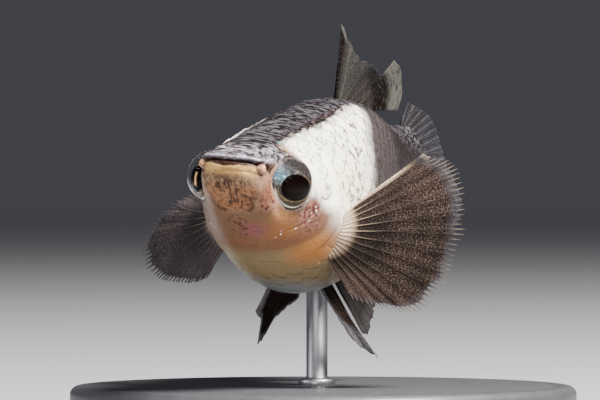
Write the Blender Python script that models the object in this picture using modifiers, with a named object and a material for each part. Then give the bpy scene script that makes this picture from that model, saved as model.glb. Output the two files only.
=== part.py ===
"""A male guppy of a big-ear strain, life size, held level above a plain display stand.

Sizes are in millimetres until a mesh is made, which turns them into metres. The fish has a
frame of its own: y runs back from the tip of the snout, x to the fish's left and z up from the
line of the mouth. A parent empty banks the fish and lifts it above the stand.
"""
import math

import bmesh
import bpy
import numpy as np
from mathutils import Matrix, Vector

MM = 0.001
SEAT_GAP = 0.3

# Pose and stand
BANK = math.radians(5.0)
SNOUT_AHEAD = 16.0
BASE_RADIUS = 13.0
BASE_HEIGHT = 2.2
BASE_BEVEL = 0.4
BASE_SIDES = 40
ROD_RADIUS = 0.55
ROD_BEHIND = 16.7
ROD_SIDES = 16
LOWEST_FIN_TIP = 10.6
TIP_CLEARANCE = 1.0
LIFT = BASE_HEIGHT + TIP_CLEARANCE + LOWEST_FIN_TIP

# Body: distance behind the snout, top, widest level, bottom and half width of each station
BODY_STATIONS = (
    (0.0, 0.30, -0.35, -1.15, 1.38),
    (1.2, 0.58, -0.50, -2.15, 1.72),
    (3.0, 0.95, -1.05, -3.50, 2.14),
    (5.0, 1.30, -1.70, -4.75, 2.84),
    (8.0, 1.88, -2.50, -5.95, 3.35),
    (12.0, 2.58, -3.05, -6.83, 3.72),
    (16.0, 3.12, -2.55, -6.45, 3.45),
    (20.0, 2.98, -1.55, -4.95, 2.66),
    (24.0, 2.25, -0.55, -3.20, 1.80),
    (27.0, 1.80, -0.15, -2.15, 1.28),
    (30.0, 1.75, -0.10, -1.95, 1.08),
)
SNOUT_ROUND = 1.0
SNOUT_LEVEL = -0.35
HEAD_SQUARENESS = 2.35
BODY_SQUARENESS = 2.05
BELLY_SQUARENESS = 1.95
SQUARE_UNTIL = 12.0
HEAD_END = 8.0
TRUNK_END = 22.0
TAIL_END = 30.0
GILL_EDGE_TOP = -1.0
GILL_EDGE_SIDE = 0.15
GILL_EDGE_BOTTOM = -2.5
GILL_GAP_WIDER = 0.5
GILL_WARP_FROM = 3.0
GILL_WARP_UNTIL = 12.5
GILL_RIDGE = 0.10
GILL_RIDGE_WIDTH = 0.7
RING_POINTS = 44

# Head
EYE_RADIUS = 1.3
EYE_PLACE = (1.95, 3.8, -0.97)
EYE_TURN = math.radians(55.0)
MOUTH_HALF_WIDTH = 1.72
MOUTH_LEVEL = 0.0
MOUTH_CORNER_DROP = 0.5
MOUTH_GROOVE = 0.14
MOUTH_DEPTH = 0.5
MOUTH_STEPS = 16
LIP_RADIUS = 0.19
LIP_SUNK = 0.06
LIP_LEVEL = 0.17
LIP_TAPER = 0.5
NOSTRIL_BEHIND = 1.7
NOSTRIL_ASIDE = 0.9
NOSTRIL_RADIUS = 0.13

# Fins
MEMBRANE = 0.5
MEMBRANE_TIP = 0.28
RAY_RIDGE = 0.1
TIP_NOTCH = 0.07


def clear_scene():
    for item in list(bpy.context.scene.objects):
        bpy.data.objects.remove(item, do_unlink=True)


def smooth_through(points, places):
    """Monotone cubic curve through (place, value) points, read at the given places."""
    knots = np.array([point[0] for point in points], float)
    values = np.array([point[1] for point in points], float)
    steps = np.diff(knots)
    slopes = np.diff(values) / steps
    tangents = np.zeros_like(values)
    tangents[0] = slopes[0]
    tangents[-1] = slopes[-1]
    for k in range(1, len(knots) - 1):
        if slopes[k - 1] * slopes[k] > 0:
            before = 2 * steps[k] + steps[k - 1]
            after = steps[k] + 2 * steps[k - 1]
            tangents[k] = (before + after) / (before / slopes[k - 1] + after / slopes[k])
    spots = np.clip(np.asarray(places, float), knots[0], knots[-1])
    k = np.clip(np.searchsorted(knots, spots, side="right") - 1, 0, len(steps) - 1)
    t = (spots - knots[k]) / steps[k]
    start = (1 + 2 * t) * (1 - t) ** 2 * values[k] + t * (1 - t) ** 2 * steps[k] * tangents[k]
    end = t * t * (3 - 2 * t) * values[k + 1] + t * t * (t - 1) * steps[k] * tangents[k + 1]
    return start + end


def station(y):
    """Top, widest level, bottom and half width of the body at y."""
    columns = []
    for column in range(1, 5):
        points = [(row[0], row[column]) for row in BODY_STATIONS]
        columns.append(float(smooth_through(points, y)))
    top, wide, bottom, half = columns
    if y < SNOUT_ROUND:
        scale = math.sqrt(max(0.0, 1 - (1 - y / SNOUT_ROUND) ** 2))
        top = SNOUT_LEVEL + (top - SNOUT_LEVEL) * scale
        wide = SNOUT_LEVEL + (wide - SNOUT_LEVEL) * scale
        bottom = SNOUT_LEVEL + (bottom - SNOUT_LEVEL) * scale
        half *= scale
    return top, wide, bottom, half


def squareness(y):
    share = min(1.0, y / SQUARE_UNTIL)
    return HEAD_SQUARENESS + (BODY_SQUARENESS - HEAD_SQUARENESS) * share


def section_point(y, turn):
    """Point of the body's skin at y, turned from the ridge of the back towards the left."""
    top, wide, bottom, half = station(y)
    sine = math.sin(turn)
    cosine = math.cos(turn)
    power = 2 / (squareness(y) if cosine > 0 else BELLY_SQUARENESS)
    height = top - wide if cosine > 0 else wide - bottom
    x = half * math.copysign(abs(sine) ** power, sine)
    z = wide + height * math.copysign(abs(cosine) ** power, cosine)
    return Vector((x, y, z))


def section_normal(y, turn):
    small = 0.01
    along = section_point(y + small, turn) - section_point(y - small, turn)
    around = section_point(y, turn + small) - section_point(y, turn - small)
    return around.cross(along).normalized()


def half_width_at(y, z):
    """Half width of the body at y, measured at the level z."""
    top, wide, bottom, half = station(y)
    if z > wide:
        power = squareness(y)
        share = (z - wide) / max(top - wide, 1e-6)
    else:
        power = BELLY_SQUARENESS
        share = (wide - z) / max(wide - bottom, 1e-6)
    return half * max(0.0, 1 - min(share, 1.0) ** power) ** (1 / power)


def turn_at_level(y, z):
    """Turn from the ridge of the back at which the skin at y has the level z."""
    top, wide, bottom, half = station(y)
    if z > wide:
        share = min(1.0, (z - wide) / (top - wide))
        return math.acos(share ** (squareness(y) / 2))
    share = min(1.0, (wide - z) / (wide - bottom))
    return math.pi - math.acos(share ** (BELLY_SQUARENESS / 2))


def turn_at_side(y, x):
    """Turn at which the underside at y is x away from the middle."""
    half = station(y)[3]
    share = min(1.0, abs(x) / half) ** (BELLY_SQUARENESS / 2)
    return math.copysign(math.pi - math.asin(share), x)


def gill_warp(turn):
    """How far the rear edge of the gill covers lies behind the head's end at this turn."""
    cosine = math.cos(turn)
    if cosine > 0:
        return GILL_EDGE_SIDE + (GILL_EDGE_TOP - GILL_EDGE_SIDE) * cosine ** 3
    return GILL_EDGE_SIDE + (GILL_EDGE_BOTTOM - GILL_EDGE_SIDE) * cosine ** 2


def extra_gap(y, turn):
    """Under the throat the cut runs aslant, so the trunk stands further back to keep its gap."""
    if y < HEAD_END + SEAT_GAP:
        return 0.0
    slant = max(0.0, -math.cos(turn)) ** 2
    return SEAT_GAP * GILL_GAP_WIDER * slant * warp_share(y)


def warp_share(y):
    if y < HEAD_END:
        share = max(0.0, y - GILL_WARP_FROM) / (HEAD_END - GILL_WARP_FROM)
    elif y < HEAD_END + SEAT_GAP:
        share = 1.0
    else:
        share = (GILL_WARP_UNTIL - y) / (GILL_WARP_UNTIL - HEAD_END - SEAT_GAP)
    return min(1.0, max(0.0, share))


def material(name, colour, roughness, metallic=0.0):
    made = bpy.data.materials.new(name)
    made.use_nodes = True
    shader = made.node_tree.nodes["Principled BSDF"]
    shader.inputs["Base Color"].default_value = (*colour, 1.0)
    shader.inputs["Roughness"].default_value = roughness
    shader.inputs["Metallic"].default_value = metallic
    made.diffuse_color = (*colour, 1.0)
    return made


def mesh_object(name, points, faces, parts, parent, look):
    mesh = bpy.data.meshes.new(name)
    mesh.from_pydata([Vector(point) * MM for point in points], [], faces)
    made = bpy.data.objects.new(name, mesh)
    parts.objects.link(made)
    made.parent = parent
    made.data.materials.append(look)
    shape = bmesh.new()
    shape.from_mesh(mesh)
    bmesh.ops.recalc_face_normals(shape, faces=shape.faces)
    shape.to_mesh(mesh)
    shape.free()
    mesh.shade_smooth()
    mesh.set_sharp_from_angle(angle=math.radians(50))
    return made


def tube_faces(rings, around, first, last):
    """Triangles of a closed loft: rings of equal count, then a point at each end."""
    faces = []
    for ring in range(rings - 1):
        for k in range(around):
            here = ring * around + k
            beside = ring * around + (k + 1) % around
            faces.append((here, beside, beside + around))
            faces.append((here, beside + around, here + around))
    for k in range(around):
        beside = (k + 1) % around
        faces.append((first, beside, k))
        faces.append((last, (rings - 1) * around + k, (rings - 1) * around + beside))
    return faces


def body_length(name, places, front, rear, parts, parent, look, relief=None):
    """One length of the body between two cuts, lofted through rings at the given places."""
    points = []
    for y in places:
        for k in range(RING_POINTS):
            turn = 2 * math.pi * k / RING_POINTS
            spot = y + gill_warp(turn) * warp_share(y) + extra_gap(y, turn)
            point = section_point(spot, turn)
            if relief:
                point += section_normal(spot, turn) * relief(y, turn)
            points.append(point)
    points.append(Vector(front))
    points.append(Vector(rear))
    rings = len(places)
    faces = tube_faces(rings, RING_POINTS, rings * RING_POINTS, rings * RING_POINTS + 1)
    return mesh_object(name, points, faces, parts, parent, look)


def evenly(start, end, spacing):
    count = max(1, round((end - start) / spacing))
    return [start + (end - start) * k / count for k in range(count + 1)]


def gill_relief(y, turn):
    """The gill cover's rear margin stands proud of the shoulder behind it."""
    if math.cos(turn) > 0.75:
        return 0.0
    near = max(0.0, 1 - abs(y - HEAD_END + GILL_RIDGE_WIDTH) / GILL_RIDGE_WIDTH)
    return GILL_RIDGE * near * near * (3 - 2 * near)


def apply_boolean(target, tool, operation):
    step = target.modifiers.new("join", "BOOLEAN")
    step.operation = operation
    step.solver = "EXACT"
    step.object = tool
    view = bpy.context.evaluated_depsgraph_get()
    result = bpy.data.meshes.new_from_object(target.evaluated_get(view))
    target.modifiers.remove(step)
    old = target.data
    target.data = result
    bpy.data.meshes.remove(old)
    bpy.data.objects.remove(tool, do_unlink=True)


def keep_largest(target):
    """Only the largest closed surface of a fused mesh stays."""
    shape = bmesh.new()
    shape.from_mesh(target.data)
    bmesh.ops.remove_doubles(shape, verts=shape.verts, dist=0.000002)
    bmesh.ops.triangulate(shape, faces=shape.faces)
    groups = []
    waiting = set(shape.faces)
    while waiting:
        group = set()
        front = [waiting.pop()]
        while front:
            face = front.pop()
            group.add(face)
            for edge in face.edges:
                for other in edge.link_faces:
                    if other in waiting:
                        waiting.remove(other)
                        front.append(other)
        groups.append(group)
    groups.sort(key=len)
    for group in groups[:-1]:
        bmesh.ops.delete(shape, geom=list(group), context="FACES")
    shape.to_mesh(target.data)
    shape.free()


def mouth_point(share, above=0.0):
    """Point of the skin on or above the mouth line; share runs from -1 at its right corner to 1."""
    x = MOUTH_HALF_WIDTH * math.sin(share * math.pi / 2)
    z = MOUTH_LEVEL + above - MOUTH_CORNER_DROP * abs(share) ** 3
    near = 0.0
    far = 3.0
    for _ in range(40):
        middle = (near + far) / 2
        if half_width_at(middle, z) < abs(x) or middle < 1e-3:
            near = middle
        else:
            far = middle
    return Vector((x, far, z))


def mouth_outward(share):
    small = 0.02
    along = mouth_point(min(1.0, share + small)) - mouth_point(max(-1.0, share - small))
    return Vector((-along.y, along.x, 0)).normalized() * -1


def mouth_shares():
    return [2 * k / MOUTH_STEPS - 1 for k in range(MOUTH_STEPS + 1)]


def lip(level, helpers, parent):
    """A tapered tube along the mouth line, half sunk in the skin."""
    curve = bpy.data.curves.new("lip", "CURVE")
    curve.dimensions = "3D"
    curve.bevel_depth = LIP_RADIUS * MM
    curve.bevel_resolution = 2
    curve.use_fill_caps = True
    spline = curve.splines.new("POLY")
    spline.points.add(MOUTH_STEPS)
    for spot, share in zip(spline.points, mouth_shares()):
        point = mouth_point(share, level) - mouth_outward(share) * LIP_SUNK
        spot.co = (*(point * MM), 1)
        spot.radius = 1 - LIP_TAPER * abs(share) ** 4
    made = bpy.data.objects.new("lip_curve", curve)
    helpers.objects.link(made)
    view = bpy.context.evaluated_depsgraph_get()
    mesh = bpy.data.meshes.new_from_object(made.evaluated_get(view))
    bpy.data.objects.remove(made, do_unlink=True)
    shape = bmesh.new()
    shape.from_mesh(mesh)
    bmesh.ops.remove_doubles(shape, verts=shape.verts, dist=0.000001)
    bmesh.ops.triangulate(shape, faces=shape.faces)
    bmesh.ops.recalc_face_normals(shape, faces=shape.faces)
    shape.to_mesh(mesh)
    shape.free()
    solid = bpy.data.objects.new("lip", mesh)
    helpers.objects.link(solid)
    solid.parent = parent
    return solid


def mouth_cutter(helpers, parent):
    """A thin curved blade that cuts the line of the mouth between the lips."""
    points = []
    shares = mouth_shares()
    for share in shares:
        middle = mouth_point(share)
        out = mouth_outward(share)
        half = MOUTH_GROOVE / 2 * (1 - 0.4 * share ** 4)
        for reach, level in ((0.6, -1), (0.6, 1), (-MOUTH_DEPTH, 1), (-MOUTH_DEPTH, -1)):
            points.append(middle + out * reach + Vector((0, 0, half * level)))
    faces = []
    for ring in range(len(shares) - 1):
        for k in range(4):
            here = ring * 4 + k
            beside = ring * 4 + (k + 1) % 4
            faces.append((here, beside, beside + 4, here + 4))
    last = (len(shares) - 1) * 4
    faces.append((3, 2, 1, 0))
    faces.append((last, last + 1, last + 2, last + 3))
    look = bpy.data.materials.new("cutter")
    return mesh_object("mouth_cutter", points, faces, helpers, parent, look)


def ball(name, centre, radius, turn, parts, parent, look, segments=24, rings=14):
    """A ball whose poles lie on the line that the eye looks along."""
    shape = bmesh.new()
    bmesh.ops.create_uvsphere(shape, u_segments=segments, v_segments=rings, radius=radius * MM)
    bmesh.ops.triangulate(shape, faces=shape.faces)
    place = Matrix.Translation(Vector(centre) * MM)
    turning = Matrix.Rotation(turn, 4, "Z") @ Matrix.Rotation(math.pi / 2, 4, "X")
    bmesh.ops.transform(shape, matrix=place @ turning, verts=shape.verts)
    mesh = bpy.data.meshes.new(name)
    shape.to_mesh(mesh)
    shape.free()
    mesh.materials.append(look)
    mesh.shade_smooth()
    made = bpy.data.objects.new(name, mesh)
    parts.objects.link(made)
    made.parent = parent
    return made


def eye_centre(side):
    return (EYE_PLACE[0] * side, EYE_PLACE[1], EYE_PLACE[2])


def head(parts, helpers, parent, look):
    """Skull, face and gill covers, with the lips, the mouth line, nostrils and eye sockets."""
    places = [0.03, 0.12, 0.28, 0.5, 0.75] + evenly(1.0, HEAD_END, 0.35)
    rear = (0, HEAD_END + GILL_EDGE_SIDE, station(HEAD_END)[1])
    front = (0, 0, SNOUT_LEVEL)
    made = body_length("head", places, front, rear, parts, parent, look, gill_relief)
    for side in (1, -1):
        centre = eye_centre(side)
        tool = ball("socket", centre, EYE_RADIUS + SEAT_GAP, EYE_TURN * side, helpers, parent, look)
        apply_boolean(made, tool, "DIFFERENCE")
        level = station(NOSTRIL_BEHIND)[0]
        place = (NOSTRIL_ASIDE * side, NOSTRIL_BEHIND, level - 0.02)
        tool = ball("nostril", place, NOSTRIL_RADIUS, 0, helpers, parent, look, 10, 6)
        apply_boolean(made, tool, "DIFFERENCE")
    for level in (LIP_LEVEL, -LIP_LEVEL):
        apply_boolean(made, lip(level, helpers, parent), "UNION")
    apply_boolean(made, mouth_cutter(helpers, parent), "DIFFERENCE")
    keep_largest(made)
    made.data.materials.clear()
    made.data.materials.append(look)
    return made


def trunk(parts, parent, look):
    places = evenly(HEAD_END + SEAT_GAP, TRUNK_END, 0.62)
    front = (0, HEAD_END + SEAT_GAP + GILL_EDGE_SIDE, station(HEAD_END)[1])
    rear = (0, TRUNK_END, 0)
    return body_length("trunk", places, front, rear, parts, parent, look)


def tail_stalk(parts, parent, look):
    places = evenly(TRUNK_END + SEAT_GAP, TAIL_END, 0.8)
    front = (0, TRUNK_END + SEAT_GAP, 0)
    rear = (0, TAIL_END, 0)
    return body_length("tail_stalk", places, front, rear, parts, parent, look)


def along_margin(margin, share):
    """Point of a fin's margin, read from the few points that its outline needs."""
    places = [row[0] for row in margin]
    values = []
    for axis in range(3):
        points = [(place, row[1][axis]) for place, row in zip(places, margin)]
        values.append(float(smooth_through(points, share)))
    return Vector(values)


def fin(name, root, margin, rays, parts, parent, look, root_thick=MEMBRANE, bow=None, rows=7):
    """A thin fin. Each ray is a ridge raised in the membrane, and its tip stands past it.

    root gives the point on the body's skin and the way out of it, for a share along the base.
    The whole fin is thickened one way, square to its middle plane, so its two faces can't cross.
    """
    columns = 2 * rays - 1
    middle = np.zeros((columns, rows + 1, 3))
    ridge = np.zeros(columns)
    outward = []
    for column in range(columns):
        share = column / (columns - 1)
        base, out = root(share)
        outward.append(np.array(out))
        start = base + out * SEAT_GAP
        tip = along_margin(margin, share)
        on_ray = column % 2 == 0
        ridge[column] = RAY_RIDGE if on_ray else 0.0
        reach = 1.0 if on_ray else 1 - TIP_NOTCH
        for row in range(rows + 1):
            t = row / rows * reach
            point = start.lerp(tip, t)
            if bow:
                point += bow(share, t)
            middle[column, row] = point
    square = np.cross(np.gradient(middle, axis=0), np.gradient(middle, axis=1)).sum(axis=(0, 1))
    square /= np.linalg.norm(square)
    points = []
    for side in (1, -1):
        for column in range(columns):
            for row in range(rows + 1):
                t = row / rows
                direction = square
                if row == 0:
                    direction = square - outward[column] * np.dot(square, outward[column])
                    direction /= np.linalg.norm(direction)
                root_share = max(0.0, 1 - t * 4)
                thick = MEMBRANE + (root_thick - MEMBRANE) * root_share
                thick += (MEMBRANE_TIP - MEMBRANE) * t ** 3
                half = thick / 2 + ridge[column] * (1 - t ** 4)
                points.append(middle[column, row] + direction * half * side)
    return mesh_object(name, points, sheet_faces(columns, rows + 1), parts, parent, look)


def sheet_faces(columns, rows):
    """Triangles of a thin closed sheet, split alike on both faces."""
    other = columns * rows
    faces = []
    for column in range(columns - 1):
        for row in range(rows - 1):
            a = column * rows + row
            b = a + rows
            faces += [(a, b, b + 1), (a, b + 1, a + 1)]
            faces += [(a + other, b + 1 + other, b + other)]
            faces += [(a + other, a + 1 + other, b + 1 + other)]
    rim = [column * rows for column in range(columns)]
    rim += [(columns - 1) * rows + row for row in range(1, rows)]
    rim += [column * rows + rows - 1 for column in range(columns - 2, -1, -1)]
    rim += [row for row in range(rows - 2, 0, -1)]
    for here, beside in zip(rim, rim[1:] + rim[:1]):
        faces += [(here, here + other, beside + other), (here, beside + other, beside)]
    return faces


# Pectoral fins: base on the flank, sweep back from the side, and the reach of the rays
PECTORAL_BEHIND = 9.0
PECTORAL_TOP = -2.5
PECTORAL_BOTTOM = -4.65
PECTORAL_SWEEP = math.radians(41.0)
PECTORAL_REACH = 7.0
PECTORAL_RAYS = 14
PECTORAL_ROOT_THICK = 0.8
LEFT_SHAPE = ((0.0, 0.76), (0.12, 0.93), (0.3, 1.0), (0.62, 0.9), (0.8, 0.66), (1.0, 0.33))
RIGHT_SHAPE = ((0.0, 0.6), (0.2, 0.85), (0.4, 1.0), (0.58, 0.95), (0.75, 0.7), (1.0, 0.36))
LEFT_FAN = (math.radians(40.0), math.radians(-60.0))
RIGHT_FAN = (math.radians(14.0), math.radians(-56.0))
RIGHT_TWIST = math.radians(28.0)
RIGHT_TWIST_UNTIL = 0.35


def pectoral_root(side):
    def root(share):
        level = PECTORAL_TOP + (PECTORAL_BOTTOM - PECTORAL_TOP) * share
        turn = turn_at_level(PECTORAL_BEHIND, level) * side
        return section_point(PECTORAL_BEHIND, turn), section_normal(PECTORAL_BEHIND, turn)
    return root


def pectoral_margin(side, fan, shape, twist):
    """Rays fan out from the base, swept back from the side, the upper ones more by the twist."""
    root = pectoral_root(side)
    margin = []
    for share, reach_share in shape:
        sweep = PECTORAL_SWEEP + twist * max(0.0, 1 - share / RIGHT_TWIST_UNTIL)
        out = Vector((math.cos(sweep) * side, math.sin(sweep), 0))
        angle = fan[0] + (fan[1] - fan[0]) * share
        way = out * math.cos(angle) + Vector((0, 0, math.sin(angle)))
        margin.append((share, root(share)[0] + way * PECTORAL_REACH * reach_share))
    return margin


def pectoral_fin(side, parts, parent, look):
    if side > 0:
        name = "pectoral_fin_left"
        margin = pectoral_margin(side, LEFT_FAN, LEFT_SHAPE, 0.0)
    else:
        name = "pectoral_fin_right"
        margin = pectoral_margin(side, RIGHT_FAN, RIGHT_SHAPE, RIGHT_TWIST)
    back = Vector((-math.sin(PECTORAL_SWEEP) * side, math.cos(PECTORAL_SWEEP), 0))

    def cup(share, t):
        return back * (0.5 * t * t * math.sin(math.pi * share))

    return fin(name, pectoral_root(side), margin, PECTORAL_RAYS, parts, parent, look,
               PECTORAL_ROOT_THICK, cup)


# Dorsal fin: base along the ridge of the back, then its margin from the front ray to the last
DORSAL_FROM = 17.3
DORSAL_UNTIL = 21.6
DORSAL_RAYS = 8
DORSAL_MARGIN = (
    (0.0, (0.0, 18.1, 7.0)),
    (0.16, (0.0, 20.2, 5.7)),
    (0.36, (0.0, 23.4, 5.0)),
    (0.56, (0.1, 26.6, 4.3)),
    (0.7, (0.1, 28.3, 3.9)),
    (0.84, (0.0, 29.8, 4.6)),
    (0.93, (0.0, 30.6, 3.7)),
    (1.0, (0.0, 28.8, 2.45)),
)


def dorsal_root(share):
    y = DORSAL_FROM + (DORSAL_UNTIL - DORSAL_FROM) * share
    return section_point(y, 0.0), section_normal(y, 0.0)


def dorsal_fin(parts, parent, look):
    def wave(share, t):
        return Vector((0.35 * t * t * math.sin(2.2 * math.pi * share), 0, 0))

    return fin("dorsal_fin", dorsal_root, DORSAL_MARGIN, DORSAL_RAYS, parts, parent, look,
               0.6, wave)


# Tail fin: base up the end of the tail, then its margin from the upper edge to the lower
CAUDAL_ROOT_TOP = 1.55
CAUDAL_ROOT_BOTTOM = -1.75
CAUDAL_RAYS = 16
CAUDAL_MARGIN = (
    (0.0, (0.0, 32.6, 2.75)),
    (0.12, (0.2, 35.4, 2.0)),
    (0.26, (0.5, 38.0, 1.3)),
    (0.4, (0.8, 39.4, -0.2)),
    (0.55, (0.9, 40.2, -2.0)),
    (0.7, (0.9, 39.6, -4.0)),
    (0.85, (0.6, 37.6, -5.3)),
    (1.0, (0.2, 34.2, -4.4)),
)


def caudal_root(share):
    z = CAUDAL_ROOT_TOP + (CAUDAL_ROOT_BOTTOM - CAUDAL_ROOT_TOP) * share
    return Vector((0, TAIL_END, z)), Vector((0, 1, 0))


def caudal_fin(parts, parent, look):
    def wave(share, t):
        return Vector((0.4 * t * t * math.sin(3 * math.pi * share), 0, 0))

    return fin("tail_fin", caudal_root, CAUDAL_MARGIN, CAUDAL_RAYS, parts, parent, look,
               0.8, wave, 10)


# Pelvic fins: each base on the belly, then the margin from the front ray to the last
PELVIC_RAYS = 6
RIGHT_PELVIC_BASE = ((-1.6, 14.0), (-0.35, 15.2))
RIGHT_PELVIC_MARGIN = (
    (0.0, (-2.48, 15.0, -8.35)),
    (0.2, (-2.52, 16.0, -9.97)),
    (0.45, (-2.0, 16.0, -9.0)),
    (0.7, (-1.3, 15.9, -8.1)),
    (1.0, (-0.45, 15.7, -7.45)),
)
LEFT_PELVIC_BASE = ((1.45, 13.8), (1.1, 15.1))
LEFT_PELVIC_MARGIN = (
    (0.0, (2.53, 15.3, -8.2)),
    (0.2, (3.7, 17.5, -10.2)),
    (0.45, (2.5, 17.3, -9.0)),
    (0.7, (1.9, 17.0, -8.15)),
    (1.0, (1.4, 16.3, -7.5)),
)


def belly_root(base):
    def root(share):
        x = base[0][0] + (base[1][0] - base[0][0]) * share
        y = base[0][1] + (base[1][1] - base[0][1]) * share
        turn = turn_at_side(y, x)
        return section_point(y, turn), section_normal(y, turn)
    return root


def pelvic_fin(side, parts, parent, look):
    if side > 0:
        return fin("pelvic_fin_left", belly_root(LEFT_PELVIC_BASE), LEFT_PELVIC_MARGIN,
                   PELVIC_RAYS, parts, parent, look)
    return fin("pelvic_fin_right", belly_root(RIGHT_PELVIC_BASE), RIGHT_PELVIC_MARGIN,
               PELVIC_RAYS, parts, parent, look)


# Anal fin: a male's is a slender rod, swung to the fish's left
ANAL_FROM = 18.3
ANAL_UNTIL = 19.8
ANAL_RAYS = 5
ANAL_MARGIN = (
    (0.0, (1.45, 21.9, -9.1)),
    (0.3, (1.5, 22.3, -9.3)),
    (0.6, (1.0, 21.9, -8.0)),
    (1.0, (0.5, 21.6, -6.9)),
)


def anal_root(share):
    y = ANAL_FROM + (ANAL_UNTIL - ANAL_FROM) * share
    return section_point(y, math.pi), section_normal(y, math.pi)


def anal_fin(parts, parent, look):
    return fin("anal_fin", anal_root, ANAL_MARGIN, ANAL_RAYS, parts, parent, look)


def banked(point):
    """Where a point of the fish's frame stands above the stand, in millimetres."""
    turned = Matrix.Rotation(BANK, 3, "Y") @ Vector(point)
    return turned + Vector((0, -SNOUT_AHEAD, LIFT))


def belly_height(x, y):
    """Height of the banked belly over a place of the floor."""
    behind = y + SNOUT_AHEAD
    turns = [math.pi * (0.75 + 0.5 * k / 120) for k in range(121)]
    ring = [banked(section_point(behind, turn)) for turn in turns]
    ring.sort(key=lambda point: point.x)
    return float(np.interp(x, [point.x for point in ring], [point.z for point in ring]))


def stand_base(parts, look):
    bpy.ops.mesh.primitive_cylinder_add(vertices=BASE_SIDES, radius=BASE_RADIUS * MM,
                                        depth=BASE_HEIGHT * MM)
    made = bpy.context.active_object
    made.name = "stand_base"
    made.data.name = "stand_base"
    made.location.z = BASE_HEIGHT / 2 * MM
    bevel = made.modifiers.new("edge", "BEVEL")
    bevel.width = BASE_BEVEL * MM
    bevel.segments = 2
    bevel.limit_method = "ANGLE"
    made.data.materials.append(look)
    for collection in list(made.users_collection):
        collection.objects.unlink(made)
    parts.objects.link(made)
    return made


def stand_rod(parts, look):
    """A straight rod whose top is shaped to the belly it carries."""
    centre = banked((0, ROD_BEHIND, station(ROD_BEHIND)[2]))
    rings = []
    for top in (False, True):
        ring = []
        for k in range(ROD_SIDES):
            angle = 2 * math.pi * k / ROD_SIDES
            x = centre.x + ROD_RADIUS * math.cos(angle)
            y = centre.y + ROD_RADIUS * math.sin(angle)
            z = belly_height(x, y) - SEAT_GAP if top else BASE_HEIGHT + SEAT_GAP
            ring.append(Vector((x, y, z)))
        rings.append(ring)
    points = rings[0] + rings[1]
    points.append(Vector((centre.x, centre.y, BASE_HEIGHT + SEAT_GAP)))
    points.append(Vector((centre.x, centre.y, belly_height(centre.x, centre.y) - SEAT_GAP)))
    faces = tube_faces(2, ROD_SIDES, 2 * ROD_SIDES, 2 * ROD_SIDES + 1)
    return mesh_object("stand_rod", points, faces, parts, None, look)


def build():
    clear_scene()
    scene = bpy.context.scene
    parts = bpy.data.collections.new("guppy")
    helpers = bpy.data.collections.new("cutters")
    scene.collection.children.link(parts)
    scene.collection.children.link(helpers)
    fish = bpy.data.objects.new("fish_place", None)
    fish.location = (0, -SNOUT_AHEAD * MM, LIFT * MM)
    fish.rotation_euler = (0, BANK, 0)
    parts.objects.link(fish)
    skin = material("pearly_skin", (0.75, 0.72, 0.66), 0.35)
    eye = material("eye", (0.02, 0.018, 0.015), 0.08)
    dark_fin = material("dark_fin", (0.05, 0.04, 0.035), 0.45)
    pale_fin = material("pale_fin", (0.5, 0.48, 0.46), 0.45)
    plinth = material("plinth", (0.03, 0.03, 0.035), 0.4)
    steel = material("steel", (0.6, 0.6, 0.62), 0.3, 1.0)
    head(parts, helpers, fish, skin)
    trunk(parts, fish, skin)
    tail_stalk(parts, fish, skin)
    for side in (1, -1):
        name = "eye_left" if side > 0 else "eye_right"
        ball(name, eye_centre(side), EYE_RADIUS, EYE_TURN * side, parts, fish, eye)
        pectoral_fin(side, parts, fish, dark_fin)
        pelvic_fin(side, parts, fish, dark_fin)
    dorsal_fin(parts, fish, dark_fin)
    caudal_fin(parts, fish, pale_fin)
    anal_fin(parts, fish, pale_fin)
    stand_base(parts, plinth)
    stand_rod(parts, steel)


build()
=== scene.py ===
"""The looks of the guppy: skin, scales, eyes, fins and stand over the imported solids.

Sizes are in millimetres in the fish's own frame: y runs back from the tip of the snout, x to the
fish's left and z up from the line of the mouth. Each piece of the fish is made in that frame and
set in place by one matrix, so a surface can be painted by where it lies on the fish.
"""
import math

import bpy
import numpy as np
from mathutils import Matrix, Vector


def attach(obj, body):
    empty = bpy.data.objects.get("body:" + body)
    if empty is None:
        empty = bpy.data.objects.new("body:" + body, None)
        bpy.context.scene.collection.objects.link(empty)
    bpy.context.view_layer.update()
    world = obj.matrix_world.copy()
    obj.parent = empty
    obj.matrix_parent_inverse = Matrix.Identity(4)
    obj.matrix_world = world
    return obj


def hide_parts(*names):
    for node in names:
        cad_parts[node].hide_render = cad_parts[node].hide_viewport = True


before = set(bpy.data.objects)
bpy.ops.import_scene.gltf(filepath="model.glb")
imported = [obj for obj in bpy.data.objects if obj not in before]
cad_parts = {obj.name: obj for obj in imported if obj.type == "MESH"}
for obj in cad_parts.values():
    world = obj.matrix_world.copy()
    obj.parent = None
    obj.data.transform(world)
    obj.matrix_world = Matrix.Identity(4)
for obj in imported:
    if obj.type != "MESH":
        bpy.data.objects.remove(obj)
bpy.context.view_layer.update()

MM = 0.001
RANDOM = np.random.default_rng(7)

# The fish's place above the stand
BANK = math.radians(5.0)
SNOUT_AHEAD = 16.0
LIFT = 13.8
FISH = Matrix.Translation((0, -SNOUT_AHEAD * MM, LIFT * MM)) @ Matrix.Rotation(BANK, 4, "Y")

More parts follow.
